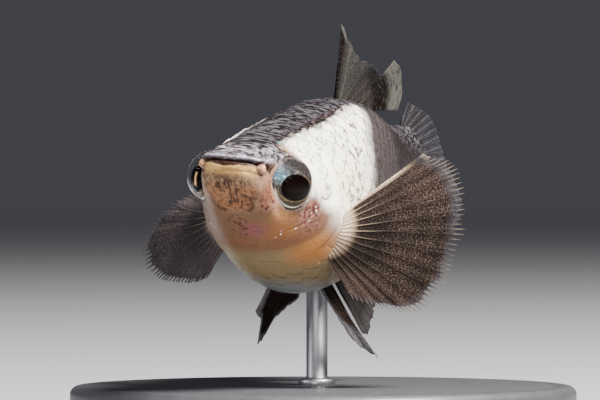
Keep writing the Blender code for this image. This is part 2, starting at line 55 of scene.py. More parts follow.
# Body: distance behind the snout, top, widest level, bottom and half width of each station
BODY_STATIONS = (
    (0.0, 0.30, -0.35, -1.15, 1.38),
    (1.2, 0.58, -0.50, -2.15, 1.72),
    (3.0, 0.95, -1.05, -3.50, 2.14),
    (5.0, 1.30, -1.70, -4.75, 2.84),
    (8.0, 1.88, -2.50, -5.95, 3.35),
    (12.0, 2.58, -3.05, -6.83, 3.72),
    (16.0, 3.12, -2.55, -6.45, 3.45),
    (20.0, 2.98, -1.55, -4.95, 2.66),
    (24.0, 2.25, -0.55, -3.20, 1.80),
    (27.0, 1.80, -0.15, -2.15, 1.28),
    (30.0, 1.75, -0.10, -1.95, 1.08),
)
SNOUT_ROUND = 1.0
SNOUT_LEVEL = -0.35
HEAD_SQUARENESS = 2.35
BODY_SQUARENESS = 2.05
BELLY_SQUARENESS = 1.95
JAW_SQUARENESS = 3.0
JAW_SQUARE_UNTIL = 1.5
THROAT_ROUND_FROM = 4.5
SQUARE_UNTIL = 12.0
HEAD_END = 8.0
TAIL_END = 30.0
GILL_EDGE_TOP = -1.0
GILL_EDGE_SIDE = 0.15
GILL_EDGE_BOTTOM = -2.5
GILL_WARP_FROM = 3.0
GILL_WARP_UNTIL = 12.5

# Head
EYE_PLACE = (1.95, 3.8, -0.97)
EYE_TURN = math.radians(55.0)
EYE_RADIUS = 1.3
FACE_HOLLOW = 0.30
FACE_HOLLOW_PLACE = (2.6, -0.9)
FACE_HOLLOW_REACH = (0.95, 0.85)
FACE_HOLLOW_AHEAD = 0.7
MOUTH_HALF_WIDTH = 1.72
MOUTH_CORNER_DROP = 0.5


def smooth_through(points, places):
    """Monotone cubic curve through (place, value) points, read at the given places."""
    knots = np.array([point[0] for point in points], float)
    values = np.array([point[1] for point in points], float)
    steps = np.diff(knots)
    slopes = np.diff(values) / steps
    tangents = np.zeros_like(values)
    tangents[0] = slopes[0]
    tangents[-1] = slopes[-1]
    for k in range(1, len(knots) - 1):
        if slopes[k - 1] * slopes[k] > 0:
            before = 2 * steps[k] + steps[k - 1]
            after = steps[k] + 2 * steps[k - 1]
            tangents[k] = (before + after) / (before / slopes[k - 1] + after / slopes[k])
    spots = np.clip(np.asarray(places, float), knots[0], knots[-1])
    k = np.clip(np.searchsorted(knots, spots, side="right") - 1, 0, len(steps) - 1)
    t = (spots - knots[k]) / steps[k]
    start = (1 + 2 * t) * (1 - t) ** 2 * values[k] + t * (1 - t) ** 2 * steps[k] * tangents[k]
    end = t * t * (3 - 2 * t) * values[k + 1] + t * t * (t - 1) * steps[k] * tangents[k + 1]
    return start + end


def ramp(value, low, high):
    """0 below low, 1 above high and smooth between, or the other way round where high < low."""
    t = np.clip((value - low) / (high - low), 0, 1)
    return t * t * (3 - 2 * t)


def bump(value, centre, width):
    """A smooth hill of height 1 around centre."""
    return np.exp(-((value - centre) / width) ** 2)


def between(start, end, share):
    return start + (end - start) * share


def station(y):
    """Top, widest level, bottom and half width of the body at y."""
    columns = []
    for column in range(1, 5):
        points = [(row[0], row[column]) for row in BODY_STATIONS]
        columns.append(smooth_through(points, y))
    short = np.clip(1 - np.asarray(y) / SNOUT_ROUND, 0, 1)
    scale = np.sqrt(np.clip(1 - short ** 2, 0, 1))
    levels = [between(SNOUT_LEVEL, level, scale) for level in columns[:3]]
    return (*levels, columns[3] * scale)


def squareness_below(y):
    """The jaw is boxy below; the throat and the belly behind it are round."""
    share = np.clip((y - JAW_SQUARE_UNTIL) / (THROAT_ROUND_FROM - JAW_SQUARE_UNTIL), 0, 1)
    return between(JAW_SQUARENESS, BELLY_SQUARENESS, share)


def face_width(y, z):
    """Share of its width that the face keeps; in front of the eyes it is hollow."""
    reach = np.where(y > FACE_HOLLOW_PLACE[0], FACE_HOLLOW_REACH[0], FACE_HOLLOW_AHEAD)
    behind = (y - FACE_HOLLOW_PLACE[0]) / reach
    above = (z - FACE_HOLLOW_PLACE[1]) / FACE_HOLLOW_REACH[1]
    return 1 - FACE_HOLLOW * np.exp(-behind ** 2 - above ** 2)


def section(y, turn):
    """Points of the body's skin at y, turned from the ridge of the back towards the left."""
    top, wide, bottom, half = station(y)
    sine = np.sin(turn)
    cosine = np.cos(turn)
    upper = between(HEAD_SQUARENESS, BODY_SQUARENESS, np.minimum(1.0, y / SQUARE_UNTIL))
    power = 2 / np.where(cosine > 0, upper, squareness_below(y))
    height = np.where(cosine > 0, top - wide, wide - bottom)
    x = half * np.sign(sine) * np.abs(sine) ** power
    z = wide + height * np.sign(cosine) * np.abs(cosine) ** power
    return np.stack((x * face_width(y, z), y + 0 * x, z), axis=-1)


def outward(y, turn):
    """Unit normals of the skin."""
    small = 0.01
    front = np.maximum(y - small, 0.0001)
    along = section(y + small, turn) - section(front, turn)
    around = section(y, turn + small) - section(y, turn - small)
    normal = np.cross(around, along)
    return normal / np.linalg.norm(normal, axis=-1, keepdims=True)


def behind_gills(y, turn):
    """Where a ring that keeps in line with the edge of the gill covers really lies."""
    cosine = np.cos(turn)
    above = between(GILL_EDGE_SIDE, GILL_EDGE_TOP, np.abs(cosine) ** 3)
    below = between(GILL_EDGE_SIDE, GILL_EDGE_BOTTOM, cosine ** 2)
    warp = np.where(cosine > 0, above, below)
    rising = (y - GILL_WARP_FROM) / (HEAD_END - GILL_WARP_FROM)
    falling = (GILL_WARP_UNTIL - y) / (GILL_WARP_UNTIL - HEAD_END)
    return y + warp * np.clip(np.minimum(rising, falling), 0, 1)


def turn_at_level(y, z):
    """Turn from the ridge of the back at which the skin at y has the level z."""
    top, wide, bottom = (float(value) for value in station(y)[:3])
    if z > wide:
        squareness = between(HEAD_SQUARENESS, BODY_SQUARENESS, y / SQUARE_UNTIL)
        return math.acos(min(1.0, (z - wide) / (top - wide)) ** (squareness / 2))
    share = min(1.0, (wide - z) / (wide - bottom))
    return math.pi - math.acos(share ** (float(squareness_below(y)) / 2))


def turn_at_side(y, x):
    """Turn at which the underside at y is x away from the middle."""
    half = float(station(y)[3])
    share = min(1.0, abs(x) / half) ** (float(squareness_below(y)) / 2)
    return math.copysign(math.pi - math.asin(share), x)


# Shader helpers

def node(tree, kind, inputs=(), **settings):
    """Adds one shader node. Each input is (socket, number or colour or another node's output)."""
    made = tree.nodes.new(kind)
    for name, value in settings.items():
        setattr(made, name, value)
    for socket, value in inputs:
        if isinstance(value, bpy.types.NodeSocket):
            tree.links.new(value, made.inputs[socket])
        else:
            made.inputs[socket].default_value = value
    return made


def attribute(tree, name):
    return node(tree, "ShaderNodeAttribute", attribute_name=name).outputs["Fac"]


def feed(socket, value):
    """Links another node's output to an input."""
    socket.id_data.links.new(value, socket)


def maths(operation, *values):
    """The first value is a node's output, the others may be numbers too."""
    inputs = tuple(enumerate(values))
    return node(values[0].id_data, "ShaderNodeMath", inputs, operation=operation).outputs[0]


def times(first, second):
    return maths("MULTIPLY", first, second)


def soft_step(value, low, high):
    """0 below low, 1 above high and smooth between."""
    inputs = ((0, value), (1, low), (2, high))
    return node(value.id_data, "ShaderNodeMapRange", inputs,
                interpolation_type="SMOOTHSTEP").outputs[0]


def mixed(share, *colours):
    """The first of two colours where share is 0 and the second where it is 1."""
    first, second = ((*value, 1.0) if isinstance(value, tuple) else value for value in colours)
    inputs = ((0, share), (6, first), (7, second))
    return node(share.id_data, "ShaderNodeMix", inputs, data_type="RGBA").outputs[2]


def stretched(tree, scale):
    """The fish's frame in millimetres, stretched by scale along each axis."""
    place = node(tree, "ShaderNodeTexCoord").outputs["Object"]
    sizes = tuple(value / MM for value in scale)
    return node(tree, "ShaderNodeMapping", (("Vector", place), ("Scale", sizes))).outputs[0]


def noise(place, detail=3.0, roughness=0.5):
    inputs = (("Vector", place), ("Scale", 1.0), ("Detail", detail), ("Roughness", roughness))
    return node(place.id_data, "ShaderNodeTexNoise", inputs).outputs["Fac"]


def grain(tree, scale, detail=3.0, roughness=0.5):
    """Noise in the fish's frame, with scale waves to the millimetre along each axis."""
    return noise(stretched(tree, scale), detail, roughness)


def spots(tree, scale, size, soft):
    """Round spots at scattered places: 1 in each spot."""
    inputs = (("Vector", stretched(tree, scale)), ("Scale", 1.0))
    away = node(tree, "ShaderNodeTexVoronoi", inputs).outputs["Distance"]
    return soft_step(away, size, size - soft)


def material(name, roughness=0.5, metallic=0.0, coat=0.0, coat_roughness=0.1, specular=0.5):
    made = bpy.data.materials.new(name)
    made.use_nodes = True
    shader = made.node_tree.nodes["Principled BSDF"]
    settings = (("Roughness", roughness), ("Metallic", metallic), ("Coat Weight", coat),
                ("Coat Roughness", coat_roughness), ("Specular IOR Level", specular))
    for socket, value in settings:
        shader.inputs[socket].default_value = value
    return made, made.node_tree, shader.inputs


def dressed(look, colour, height=None, strength=0.0, distance=0.0):
    """Gives a material its colour and the relief of a height pattern, distance millimetres high."""
    sockets = look.node_tree.nodes["Principled BSDF"].inputs
    feed(sockets["Base Color"], colour)
    if height is not None:
        inputs = (("Height", height), ("Strength", strength), ("Distance", distance * MM))
        feed(sockets["Normal"], node(look.node_tree, "ShaderNodeBump", inputs).outputs[0])
    return look


# Meshes

def fish_piece(name, points, faces, look, masks=None, unwrap=None):
    """A smooth mesh in the fish's frame, with float masks and a bake unwrap on its points."""
    mesh = bpy.data.meshes.new(name)
    mesh.from_pydata((np.asarray(points) * MM).tolist(), [], faces)
    for mask, values in (masks or {}).items():
        layer = mesh.attributes.new(mask, "FLOAT", "POINT")
        layer.data.foreach_set("value", np.asarray(values, np.float32).ravel())
    if unwrap is not None:
        layer = mesh.uv_layers.new(name="OFBake")
        corners = np.zeros(len(mesh.loops), np.int32)
        mesh.loops.foreach_get("vertex_index", corners)
        layer.data.foreach_set("uv", np.asarray(unwrap, np.float32)[corners].ravel())
    mesh.materials.append(look)
    mesh.shade_smooth()
    made = bpy.data.objects.new(name, mesh)
    bpy.context.scene.collection.objects.link(made)
    made.matrix_world = FISH
    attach(made, "root")
    return made


def grid_faces(columns, rows, start=0, flip=False):
    """Quads of a grid of points stored column by column."""
    column, row = np.meshgrid(np.arange(columns - 1), np.arange(rows - 1), indexing="ij")
    first = (start + column * rows + row).ravel()
    corners = [first, first + rows, first + rows + 1, first + 1]
    if flip:
        corners.reverse()
    return np.stack(corners, axis=1).tolist()


def sheet_faces(columns, rows, flip=False):
    """Faces of a closed sheet: a grid, another grid behind it and the edge between them.

    flip turns them all round.
    """
    other = columns * rows
    rim = [column * rows for column in range(columns)]
    rim += [other - rows + row for row in range(1, rows)]
    rim += [column * rows + rows - 1 for column in range(columns - 2, -1, -1)]
    rim += [row for row in range(rows - 2, 0, -1)]
    pairs = zip(rim, rim[1:] + rim[:1])
    if flip:
        edge = [(a, b, b + other, a + other) for a, b in pairs]
    else:
        edge = [(a, a + other, b + other, b) for a, b in pairs]
    return grid_faces(columns, rows, 0, flip) + grid_faces(columns, rows, other, not flip) + edge


# Skin

SKIN_UNDER_SCALES = 0.05
LIP_RADIUS = 0.19
LIP_LEVEL = 0.18
JAW_MIDDLE = -1.10
JAW_HALF_HEIGHT = 1.42
JAW_HALF_WIDTH = 1.55
JAW_TAPER = 0.26
CORNER_KNOB = (1.53, 0.76, -0.30)
KNOB_RADIUS = 0.24
MOUTH_BEHIND = (2.4, 1.9)
FRONT_NOSTRIL = (0.90, 1.70)
REAR_NOSTRIL = (1.42, 2.95)
THROAT_FOLD = ((0.0, 4.0), (1.25, 4.67), (2.29, 5.53), (2.98, 6.52), (3.27, 7.08), (3.5, 7.8))
CHEEK_CANAL = ((-3.4, 4.1), (-2.8, 5.17), (-2.24, 5.55), (-1.89, 5.75), (-0.5, 5.72), (0.2, 5.3))
DARK_BACK = ((0.9, 0.6), (2.0, 1.15), (3.1, 1.35), (7.0, 1.42), (9.7, 1.55), (12.3, 1.5),
             (14.8, 1.3), (17.1, 1.0), (21.0, 0.8), (30.0, 0.7))
REAR_EDGE = ((-7.0, 11.0), (-4.0, 11.6), (-1.0, 13.2), (0.0, 13.9), (1.2, 14.7), (2.7, 17.6),
             (4.0, 19.0))


def from_mouth_line(x, z):
    """Distance above the line of the mouth, and how much of a mouth there is at this side."""
    side = np.clip(np.abs(x) / MOUTH_HALF_WIDTH, 0, 1)
    share = np.arcsin(side) * 2 / math.pi
    line = -MOUTH_CORNER_DROP * share ** 3
    slope = MOUTH_CORNER_DROP * 3 * share ** 2 * (2 / math.pi) / MOUTH_HALF_WIDTH
    slope = slope / np.sqrt(np.maximum(1 - side ** 2, 0.03))
    there = ramp(np.abs(x) / MOUTH_HALF_WIDTH, 1.05, 0.96)
    return (z - line) / np.sqrt(1 + slope ** 2), there


def round_hill(value, centre, radius):
    return np.sqrt(np.clip(1 - ((value - centre) / radius) ** 2, 0, 1))


def open_mouth(x, above):
    """1 where the lips meet, an uneven band of painted shade that is thickest at the middle of the
    mouth.
    """
    open_here = bump(x, -0.1, 0.9)
    half = 0.07 + 0.09 * open_here
    middle = -0.04 - 0.07 * open_here + 0.02 * np.sin(5.1 * x) + 0.012 * np.sin(13 * x + 1)
    return ramp(np.abs(above - middle), half + 0.03, half - 0.03)


def jaw_plate(x, z):
    """1 on the outline of the lower jaw's plate, less inside."""
    half_width = JAW_HALF_WIDTH * (1 - JAW_TAPER * ramp(z, -0.8, -2.4))
    across = (np.abs(x) / half_width) ** 4
    upright = (np.abs(z - JAW_MIDDLE) / JAW_HALF_HEIGHT) ** 4
    return (across + upright) ** 0.25


def away_from(place, centre):
    """Distance from a centre on the left side of the fish, or from its like on the right."""
    side = np.stack((np.abs(place[:, 0]), place[:, 1], place[:, 2]), axis=1)
    return np.linalg.norm(side - np.array(centre), axis=1)


def face_lines(place, knob_edge):
    """Where a place lies to the lines of the face.

    Distance above the line of the mouth and how much of a mouth there is, distance from the
    knob, place on the jaw's plate, and distance behind the throat's fold and the cheek's canal.
    """
    x, y, z = place.T
    above, mouth = from_mouth_line(x, z)
    knob = away_from(place, CORNER_KNOB)
    mouth = mouth * ramp(y, *MOUTH_BEHIND) * ramp(knob, KNOB_RADIUS, KNOB_RADIUS + knob_edge)
    fold = y - smooth_through(THROAT_FOLD, np.abs(x))
    canal = y - smooth_through(CHEEK_CANAL, z)
    return above, mouth, knob, jaw_plate(x, z), fold, canal


def head_relief(place, ring_y, turn):
    """How far lips, jaw, gill covers and the rims of the eyes stand out, in millimetres."""
    x, y, z = place.T
    above, mouth, knob, plate, fold, canal = face_lines(place, 0.08)
    lift = mouth * 0.15 * round_hill(above, LIP_LEVEL, LIP_RADIUS)
    lower = mouth * ramp(np.abs(x), 1.66, 1.46)
    lift += lower * 0.08 * round_hill(above, -LIP_LEVEL - 0.03, LIP_RADIUS + 0.04)
    lift -= mouth * 0.30 * round_hill(above, 0.0, 0.085)
    lift -= mouth * 0.03 * bump(above, 0.44, 0.04)
    lift -= lower * 0.01 * bump(above, -0.52, 0.05)
    in_front = ramp(y, 3.6, 3.0) * ramp(z, -0.2, -0.5)
    lift += 0.025 * ramp(plate, 1.06, 0.80) * in_front
    lift -= 0.01 * bump(plate, 1.04, 0.05) * in_front
    lift += 0.20 * round_hill(knob, 0.0, KNOB_RADIUS) - 0.10 * bump(knob, KNOB_RADIUS + 0.06, 0.05)
    low = ramp(z, -1.6, -2.6)
    lift += low * 0.03 * ramp(fold, -1.6, -0.2) * ramp(fold, 0.35, -0.1)
    side = ramp(np.cos(turn), 0.85, 0.6) * (1 - ramp(np.cos(turn), -0.15, -0.6))
    lift += side * 0.13 * ramp(ring_y, HEAD_END - 1.1, HEAD_END - 0.1) * (ring_y <= HEAD_END)
    lift -= side * 0.10 * bump(ring_y, HEAD_END + 0.12, 0.09)
    lift -= 0.035 * bump(canal, 0, 0.09) * ramp(z, 0.3, 0.0) * ramp(z, -3.6, -3.2)
    eye = away_from(place, EYE_PLACE)
    lift += 0.09 * bump(eye, EYE_RADIUS + 0.12, 0.10)
    lift -= 0.02 * bump(eye, EYE_RADIUS + 0.42, 0.08)
    on_top = z > -0.3
    for spot, depth, width in ((FRONT_NOSTRIL, 0.16, 0.11), (REAR_NOSTRIL, 0.12, 0.10)):
        away = np.hypot(np.abs(x) - spot[0], (y - spot[1]) * 0.6)
        lift += on_top * (0.05 * bump(away, width * 1.8, 0.06) - depth * bump(away, 0, width))
    return lift


def scaled(ring_y, turn, place):
    """1 where the skin carries scales."""
    body = ramp(ring_y, HEAD_END, HEAD_END + 0.3)
    crown = ramp(np.cos(turn), 0.45, 0.6) * ramp(ring_y, 4.6, 5.0)
    cover = ramp(ring_y, 5.9, 6.2) * ramp(place[:, 2], -2.0, -1.6)
    bare_eye = ramp(away_from(place, EYE_PLACE), EYE_RADIUS + 0.35, EYE_RADIUS + 0.5)
    return np.maximum(body, np.maximum(crown, cover) * bare_eye)


def blob(place, centre, radii, soft):
    """1 at centre, fading to 0 at the radii."""
    away = np.linalg.norm((place - np.array(centre)) / np.array(radii), axis=1)
    return ramp(away, 1.0, 1.0 - soft)


def on_both_sides(place, centre, radii, soft):
    mirrored = place * [-1, 1, 1]
    return np.maximum(blob(place, centre, radii, soft), blob(mirrored, centre, radii, soft))


def body_masks(place):
    """The fish's markings and its painted light and shade, each as a mask over places on it. Skin
    and scales share them.
    """
    x, y, z = place.T
    side = np.abs(x)
    above, mouth, knob, plate, fold, canal = face_lines(place, 0.06)
    in_front = ramp(y, 3.4, 2.8)
    jaw = ramp(plate, 1.12, 0.80) * in_front * ramp(above, 0.0, -0.06)
    # Painted shade: the groove below each corner knob and a crease at the brow get the same dark
    # colour as where the lips meet.
    knob_groove_shade = bump(knob, KNOB_RADIUS + 0.10, 0.08) * ramp(z, -0.95, -0.55)
    brow_crease_shade = blob(place, (1.62, 3.5, 0.52), (0.25, 0.5, 0.13), 0.6)
    masks = {
        "flank": ramp(z, -3.6, -2.2) * ramp(y, 4.0, 5.0),
        # Rear and stalk: the body's own greyer tone there, deepened with painted shade where the
        # body turns away from the light, darkest on the stalk.
        "rear": ramp(y - smooth_through(REAR_EDGE, z), -1.4, 1.2),
        "stalk": ramp(y, 20.5, 25.0),
        "back": ramp(side - smooth_through(DARK_BACK, y), 0.55, -0.55) * ramp(z, 0.2, 0.5)
        * ramp(y, 1.2, 3.0) * ramp(y, 26.0, 21.5),
        "face": ramp(y, 4.4, 3.2) * ramp(z, -0.4, 0.15) * (1 - jaw),
        "brow": ramp(side, 1.5, 0.6) * ramp(y, 1.9, 3.0) * ramp(z, 0.2, 0.5),
        "throat": ramp(z, -1.7, -2.6) * ramp(y, 9.5, 6.5) * (1 - jaw),
        "belly": ramp(z, -3.5, -4.9) * ramp(y, 3.8, 5.8),
        # Painted rim light: a bluish grey band along the bottom of the belly.
        "rim": ramp(z, -5.7, -6.5),
        "orange": blob(place, (1.75, 4.2, -3.2), (1.8, 2.6, 1.5), 0.9) * ramp(x, -0.4, 0.9),
        "orange_low": blob(place, (2.3, 7.2, -4.2), (2.2, 2.8, 1.4), 0.9),
        "violet": blob(place, (0.6, 3.1, -3.35), (1.1, 1.4, 0.75), 0.95) * (1 - jaw),
        "fold_red": 0.55 * bump(fold, -0.2, 0.38) * ramp(z, -1.8, -2.6) * ramp(y, 7.4, 6.0),
        "pink": np.clip(1.3 * on_both_sides(place, (2.75, 5.4, -2.3), (1.0, 1.9, 1.5), 0.9), 0, 1),
        "under_eye": blob(place, (2.0, 3.4, -2.45), (0.8, 1.5, 0.7), 0.9),
        "corner": on_both_sides(place, (1.72, 1.35, -0.22), (0.30, 0.65, 0.36), 0.7),
        "golden": on_both_sides(place, (3.3, 9.8, -1.0), (1.6, 3.6, 1.8), 0.95),
        "teal": on_both_sides(place, (1.25, 4.4, 0.95), (0.3, 0.5, 0.4), 0.9),
        "cheek": blob(place, (-1.9, 2.4, -1.9), (1.0, 2.4, 1.8), 0.9) * (1 - jaw),
        "cheek_left": blob(place, (1.7, 1.6, -1.5), (0.9, 1.6, 1.4), 0.8) * (1 - jaw),
        "jaw": jaw,
        "jaw_low": jaw * ramp(z, -0.95, -1.5),
        "gum": jaw * ramp(z, -0.98, -0.40) * ramp(side, 1.5, 1.2),
        "jaw_line": bump(plate, 0.98, 0.06) * in_front * ramp(z, -1.3, -2.0),
        "speckled": jaw * ramp(z, -0.45, -1.1),
        "red_spots": np.maximum(blob(place, (0.0, 2.7, -3.2), (0.7, 1.5, 0.9), 0.5),
                                blob(place, (1.5, 2.0, -2.0), (0.7, 1.0, 0.8), 0.5)),
        # Painted glints: white dots on the pores along the cheek's canal.
        "canal_pore_glints": bump(canal, 0, 0.2) * ramp(z, 0.3, -0.3) * ramp(z, -3.9, -3.4),
        "lip": mouth * ramp(above, 0.05, 0.12) * ramp(above, 0.50, 0.36),
        # The upper lip's own pale edge with painted light, lifting it where the lip's underside
        # lies in shade.
        "lit_lip_edge": mouth * bump(above, 0.21, 0.06),
        "knob": ramp(knob, KNOB_RADIUS + 0.02, KNOB_RADIUS - 0.06),
        # Painted shade, dark brown, where the lips meet, round the corner knobs and in the brow's
        # crease.
        "painted_crease_shade": np.maximum(np.maximum(mouth * open_mouth(x, above), knob_groove_shade), 0.6 * brow_crease_shade),
        "eye_rim": bump(away_from(place, EYE_PLACE), EYE_RADIUS + 0.05, 0.10),
    }
    masks["silver"] = masks["flank"] * (1 - masks["back"]) * (1 - masks["rear"])
    masks["silver"] = masks["silver"] * (1 - masks["pink"])
    return masks


# Paint of the body: mask, light colour, dark colour and the pattern that mixes them
UNDERTONE = ((0.27, 0.155, 0.105), (0.21, 0.12, 0.08))
PAINTS = (
    ("flank", (0.98, 0.955, 0.87), (0.84, 0.79, 0.68), "fine"),
    ("golden", (0.97, 0.89, 0.60), (0.84, 0.73, 0.43), "fine"),
    # Rear and stalk: their own greyer tone, deepened with painted shade.
    ("rear", (0.042, 0.034, 0.033), (0.024, 0.0185, 0.018), "fine"),
    ("stalk", (0.016, 0.0125, 0.0125), (0.009, 0.007, 0.007), "fine"),
    ("throat", (0.128, 0.068, 0.036), (0.100, 0.051, 0.026), "coarse"),
    ("belly", (0.188, 0.137, 0.069), (0.152, 0.109, 0.055), "coarse"),
    # Painted rim light along the bottom of the belly.
    ("rim", (0.180, 0.190, 0.190), (0.125, 0.132, 0.132), "coarse"),
    ("cheek", (0.137, 0.078, 0.035), (0.096, 0.052, 0.023), "fine"),
    ("orange_low", (0.37, 0.144, 0.040), (0.31, 0.115, 0.028), "coarse"),
    ("orange", (0.22, 0.092, 0.032), (0.168, 0.065, 0.021), "coarse"),
    ("under_eye", (0.37, 0.170, 0.062), (0.28, 0.125, 0.045), "fine"),
    ("cheek_left", (0.19, 0.076, 0.038), (0.12, 0.043, 0.024), "fine"),
    ("fold_red", (0.17, 0.068, 0.036), (0.10, 0.035, 0.020), "fine"),
    ("pink", (0.18, 0.071, 0.050), (0.048, 0.015, 0.012), "fine"),
    ("violet", (0.178, 0.064, 0.060), (0.130, 0.042, 0.042), "fine"),
    ("back", (0.022, 0.008, 0.0083), (0.0026, 0.0009, 0.001), "lines"),
    ("face", (0.20, 0.175, 0.19), (0.012, 0.0088, 0.0105), "streaks"),
    ("brow", (0.064, 0.057, 0.064), (0.0062, 0.0047, 0.0056), "streaks"),
    ("teal", (0.16, 0.22, 0.21), (0.05, 0.08, 0.08), "fine"),
    ("eye_rim", (0.30, 0.24, 0.22), (0.14, 0.095, 0.085), "fine"),
    ("jaw", (0.21, 0.131, 0.069), (0.115, 0.068, 0.036), "fine"),
    ("jaw_low", (0.22, 0.095, 0.041), (0.118, 0.046, 0.019), "fine"),
    ("gum", (0.50, 0.295, 0.098), (0.30, 0.168, 0.058), "streaks"),
    ("lip", (0.175, 0.153, 0.178), (0.022, 0.014, 0.018), "streaks"),
    ("corner", (0.085, 0.044, 0.030), (0.036, 0.017, 0.012), "fine"),
    # The upper lip's pale edge with painted light.
    ("lit_lip_edge", (0.36, 0.33, 0.37), (0.17, 0.145, 0.17), "fine"),
    ("knob", (0.90, 0.44, 0.21), (0.66, 0.31, 0.14), "fine"),
    # Painted shade where the lips meet, round the corner knobs and in the brow's crease.
    ("painted_crease_shade", (0.024, 0.0105, 0.0065), (0.011, 0.0048, 0.003), "fine"),
)


def body_colour(tree):
    """The colour of the body from its markings and its painted light and shade, each broken up by a
    pattern of its own kind.
    """
    patterns = {
        "fine": soft_step(grain(tree, (5, 4, 5), 4.0), 0.38, 0.62),
        "coarse": grain(tree, (0.9, 0.7, 0.9), 4.0),
        "streaks": soft_step(grain(tree, (1.4, 4, 5), 5.0, 0.6), 0.46, 0.58),
        "lines": soft_step(grain(tree, (5, 1.4, 5), 5.0, 0.6), 0.42, 0.62),
    }
    colour = mixed(patterns["coarse"], UNDERTONE[1], UNDERTONE[0])
    for mask, light, dark, pattern in PAINTS:
        share = attribute(tree, mask)
        if pattern in ("lines", "streaks"):
            broken = maths("MULTIPLY_ADD", patterns[pattern], -0.2, 0.1)
            share = soft_step(maths("ADD", share, broken), 0.1, 0.9)
        colour = mixed(share, colour, mixed(patterns[pattern], dark, light))
    clumps = grain(tree, (1.5, 1.5, 1.2), 1.0)
    strokes = maths("ADD", grain(tree, (7.5, 4.0, 2.6), 3.0, 0.62), times(clumps, 0.55))
    for pattern, mask, tone in (
            (soft_step(strokes, 0.825, 0.89), "speckled", (0.042, 0.015, 0.007)),
            (times(soft_step(clumps, 0.44, 0.56), 0.8), "jaw_line", (0.035, 0.012, 0.006)),
            (spots(tree, (4.6, 3.4, 3.2), 0.44, 0.2), "red_spots", (0.055, 0.012, 0.010)),
            # Painted glints on the cheek canal's pores.
            (spots(tree, (4.0, 4.0, 4.0), 0.26, 0.1), "canal_pore_glints", (1.0, 0.93, 0.95))):
        colour = mixed(times(pattern, attribute(tree, mask)), colour, tone)
    return colour


def skin_look():
    look, tree, _ = material("wet_skin", roughness=0.42, coat=0.06, coat_roughness=0.12,
                             specular=0.14)
    return dressed(look, body_colour(tree), grain(tree, (6, 6, 6), 5.0), 0.6, 0.05)


def scale_look():
    """Pearly plates with darker, broken edges and fine lines across them."""
    look, tree, sockets = material("scales", roughness=0.42, coat=0.02, coat_roughness=0.15,
                                   specular=0.07)
    broken = soft_step(grain(tree, (4.0, 2.5, 4.0)), 0.42, 0.56)
    lines = maths("SINE", times(attribute(tree, "ripple"), 2 * math.pi))
    grooves = times(soft_step(lines, 0.2, 0.95), broken)
    edges = times(attribute(tree, "edge"), times(broken, 0.85))
    marks = times(maths("MULTIPLY_ADD", grooves, 0.20, edges), attribute(tree, "crisp"))
    ticks = soft_step(grain(tree, (2.6, 1.7, 2.3), 4.0, 0.7), 0.53, 0.62)
    marks = maths("MAXIMUM", marks, times(ticks, attribute(tree, "ticks")))
    colour = mixed(marks, body_colour(tree), (0.075, 0.06, 0.058))
    silver = attribute(tree, "silver")
    tone = times(attribute(tree, "tone"), silver)
    colour = mixed(times(tone, 0.06), colour, (0.25, 0.22, 0.20))
    feed(sockets["Metallic"], times(silver, 0.15))
    height = maths("SUBTRACT", grain(tree, (8, 8, 8)), grooves)
    return dressed(look, colour, height, 0.6, 0.03)


# Skin and scales as meshes

SKIN_AROUND = 256
SNOUT_RINGS = 42
FACE_RING_STEP = 0.05
BODY_RINGS = 130
SOCKET = EYE_RADIUS + 0.03
SOCKET_STEPS = 4
SOCKET_STEP = 0.25
FIRST_SCALES = 4.7
SCALE_COLUMNS = 26
SCALE_PITCHES = (0.62, 0.86)
SCALE_LENGTH = 1.8
SCALE_WIDTH = 0.60
SCALE_ROUND = 0.40
SCALE_SUNK = 0.045
SCALE_PROUD = 0.105
SCALE_CURVE = 0.02
SCALE_TILTS = (0.85, 1.2)
SCALE_THICK = 0.025
SCALE_UNWRAP = 0.003
SCALE_STEPS = 8
SCALE_ACROSS = 9
GROOVE_STEP = 0.27


def skin_rings():
    reach = np.linspace(0.03, 1.0, SNOUT_RINGS)
    snout = SNOUT_ROUND * (1 - np.sqrt(1 - reach ** 2))
    face = np.arange(1.05, HEAD_END + 0.45, FACE_RING_STEP)
    body = np.linspace(HEAD_END + 0.6, TAIL_END, BODY_RINGS)
    return np.concatenate((snout, face, body))


def eye_side(side):
    """Centre of an eye and the way it looks."""
    centre = np.array(EYE_PLACE) * [side, 1, 1]
    gaze = np.array([math.sin(EYE_TURN) * side, -math.cos(EYE_TURN), 0.0])
    return centre, gaze


def line_socket(points, faces, unwrap, side):
    """Cuts the skin round an eye and turns its rim in along the eyeball."""
    centre, gaze = eye_side(side)
    inside = np.linalg.norm(points - centre, axis=1) < SOCKET
    faces = faces[~inside[faces].any(axis=1)]
    edges = np.concatenate([faces[:, [k, (k + 1) % 4]] for k in range(4)])
    _, first, count = np.unique(np.sort(edges, axis=1), axis=0, return_index=True,
                                return_counts=True)
    rim = edges[first[count == 1]]
    rim = rim[np.linalg.norm(points[rim[:, 0]] - centre, axis=1) < SOCKET + 0.4]

    def on_ball(away):
        return centre + away * (SOCKET / np.linalg.norm(away, axis=1, keepdims=True))

    old = np.unique(rim)
    points[old] = on_ball(points[old] - centre)
    for _ in range(SOCKET_STEPS):
        fresh = on_ball(points[old] - centre - gaze * SOCKET_STEP)
        new = np.arange(len(points), len(points) + len(old))
        points = np.concatenate((points, fresh))
        unwrap = np.concatenate((unwrap, unwrap[old]))
        place = dict(zip(old.tolist(), new.tolist()))
        wall = [(b, a, place[a], place[b]) for a, b in rim.tolist()]
        rim = np.array([(place[a], place[b]) for a, b in rim.tolist()])
        faces = np.concatenate((faces, np.array(wall)))
        old = new
    return points, faces, unwrap


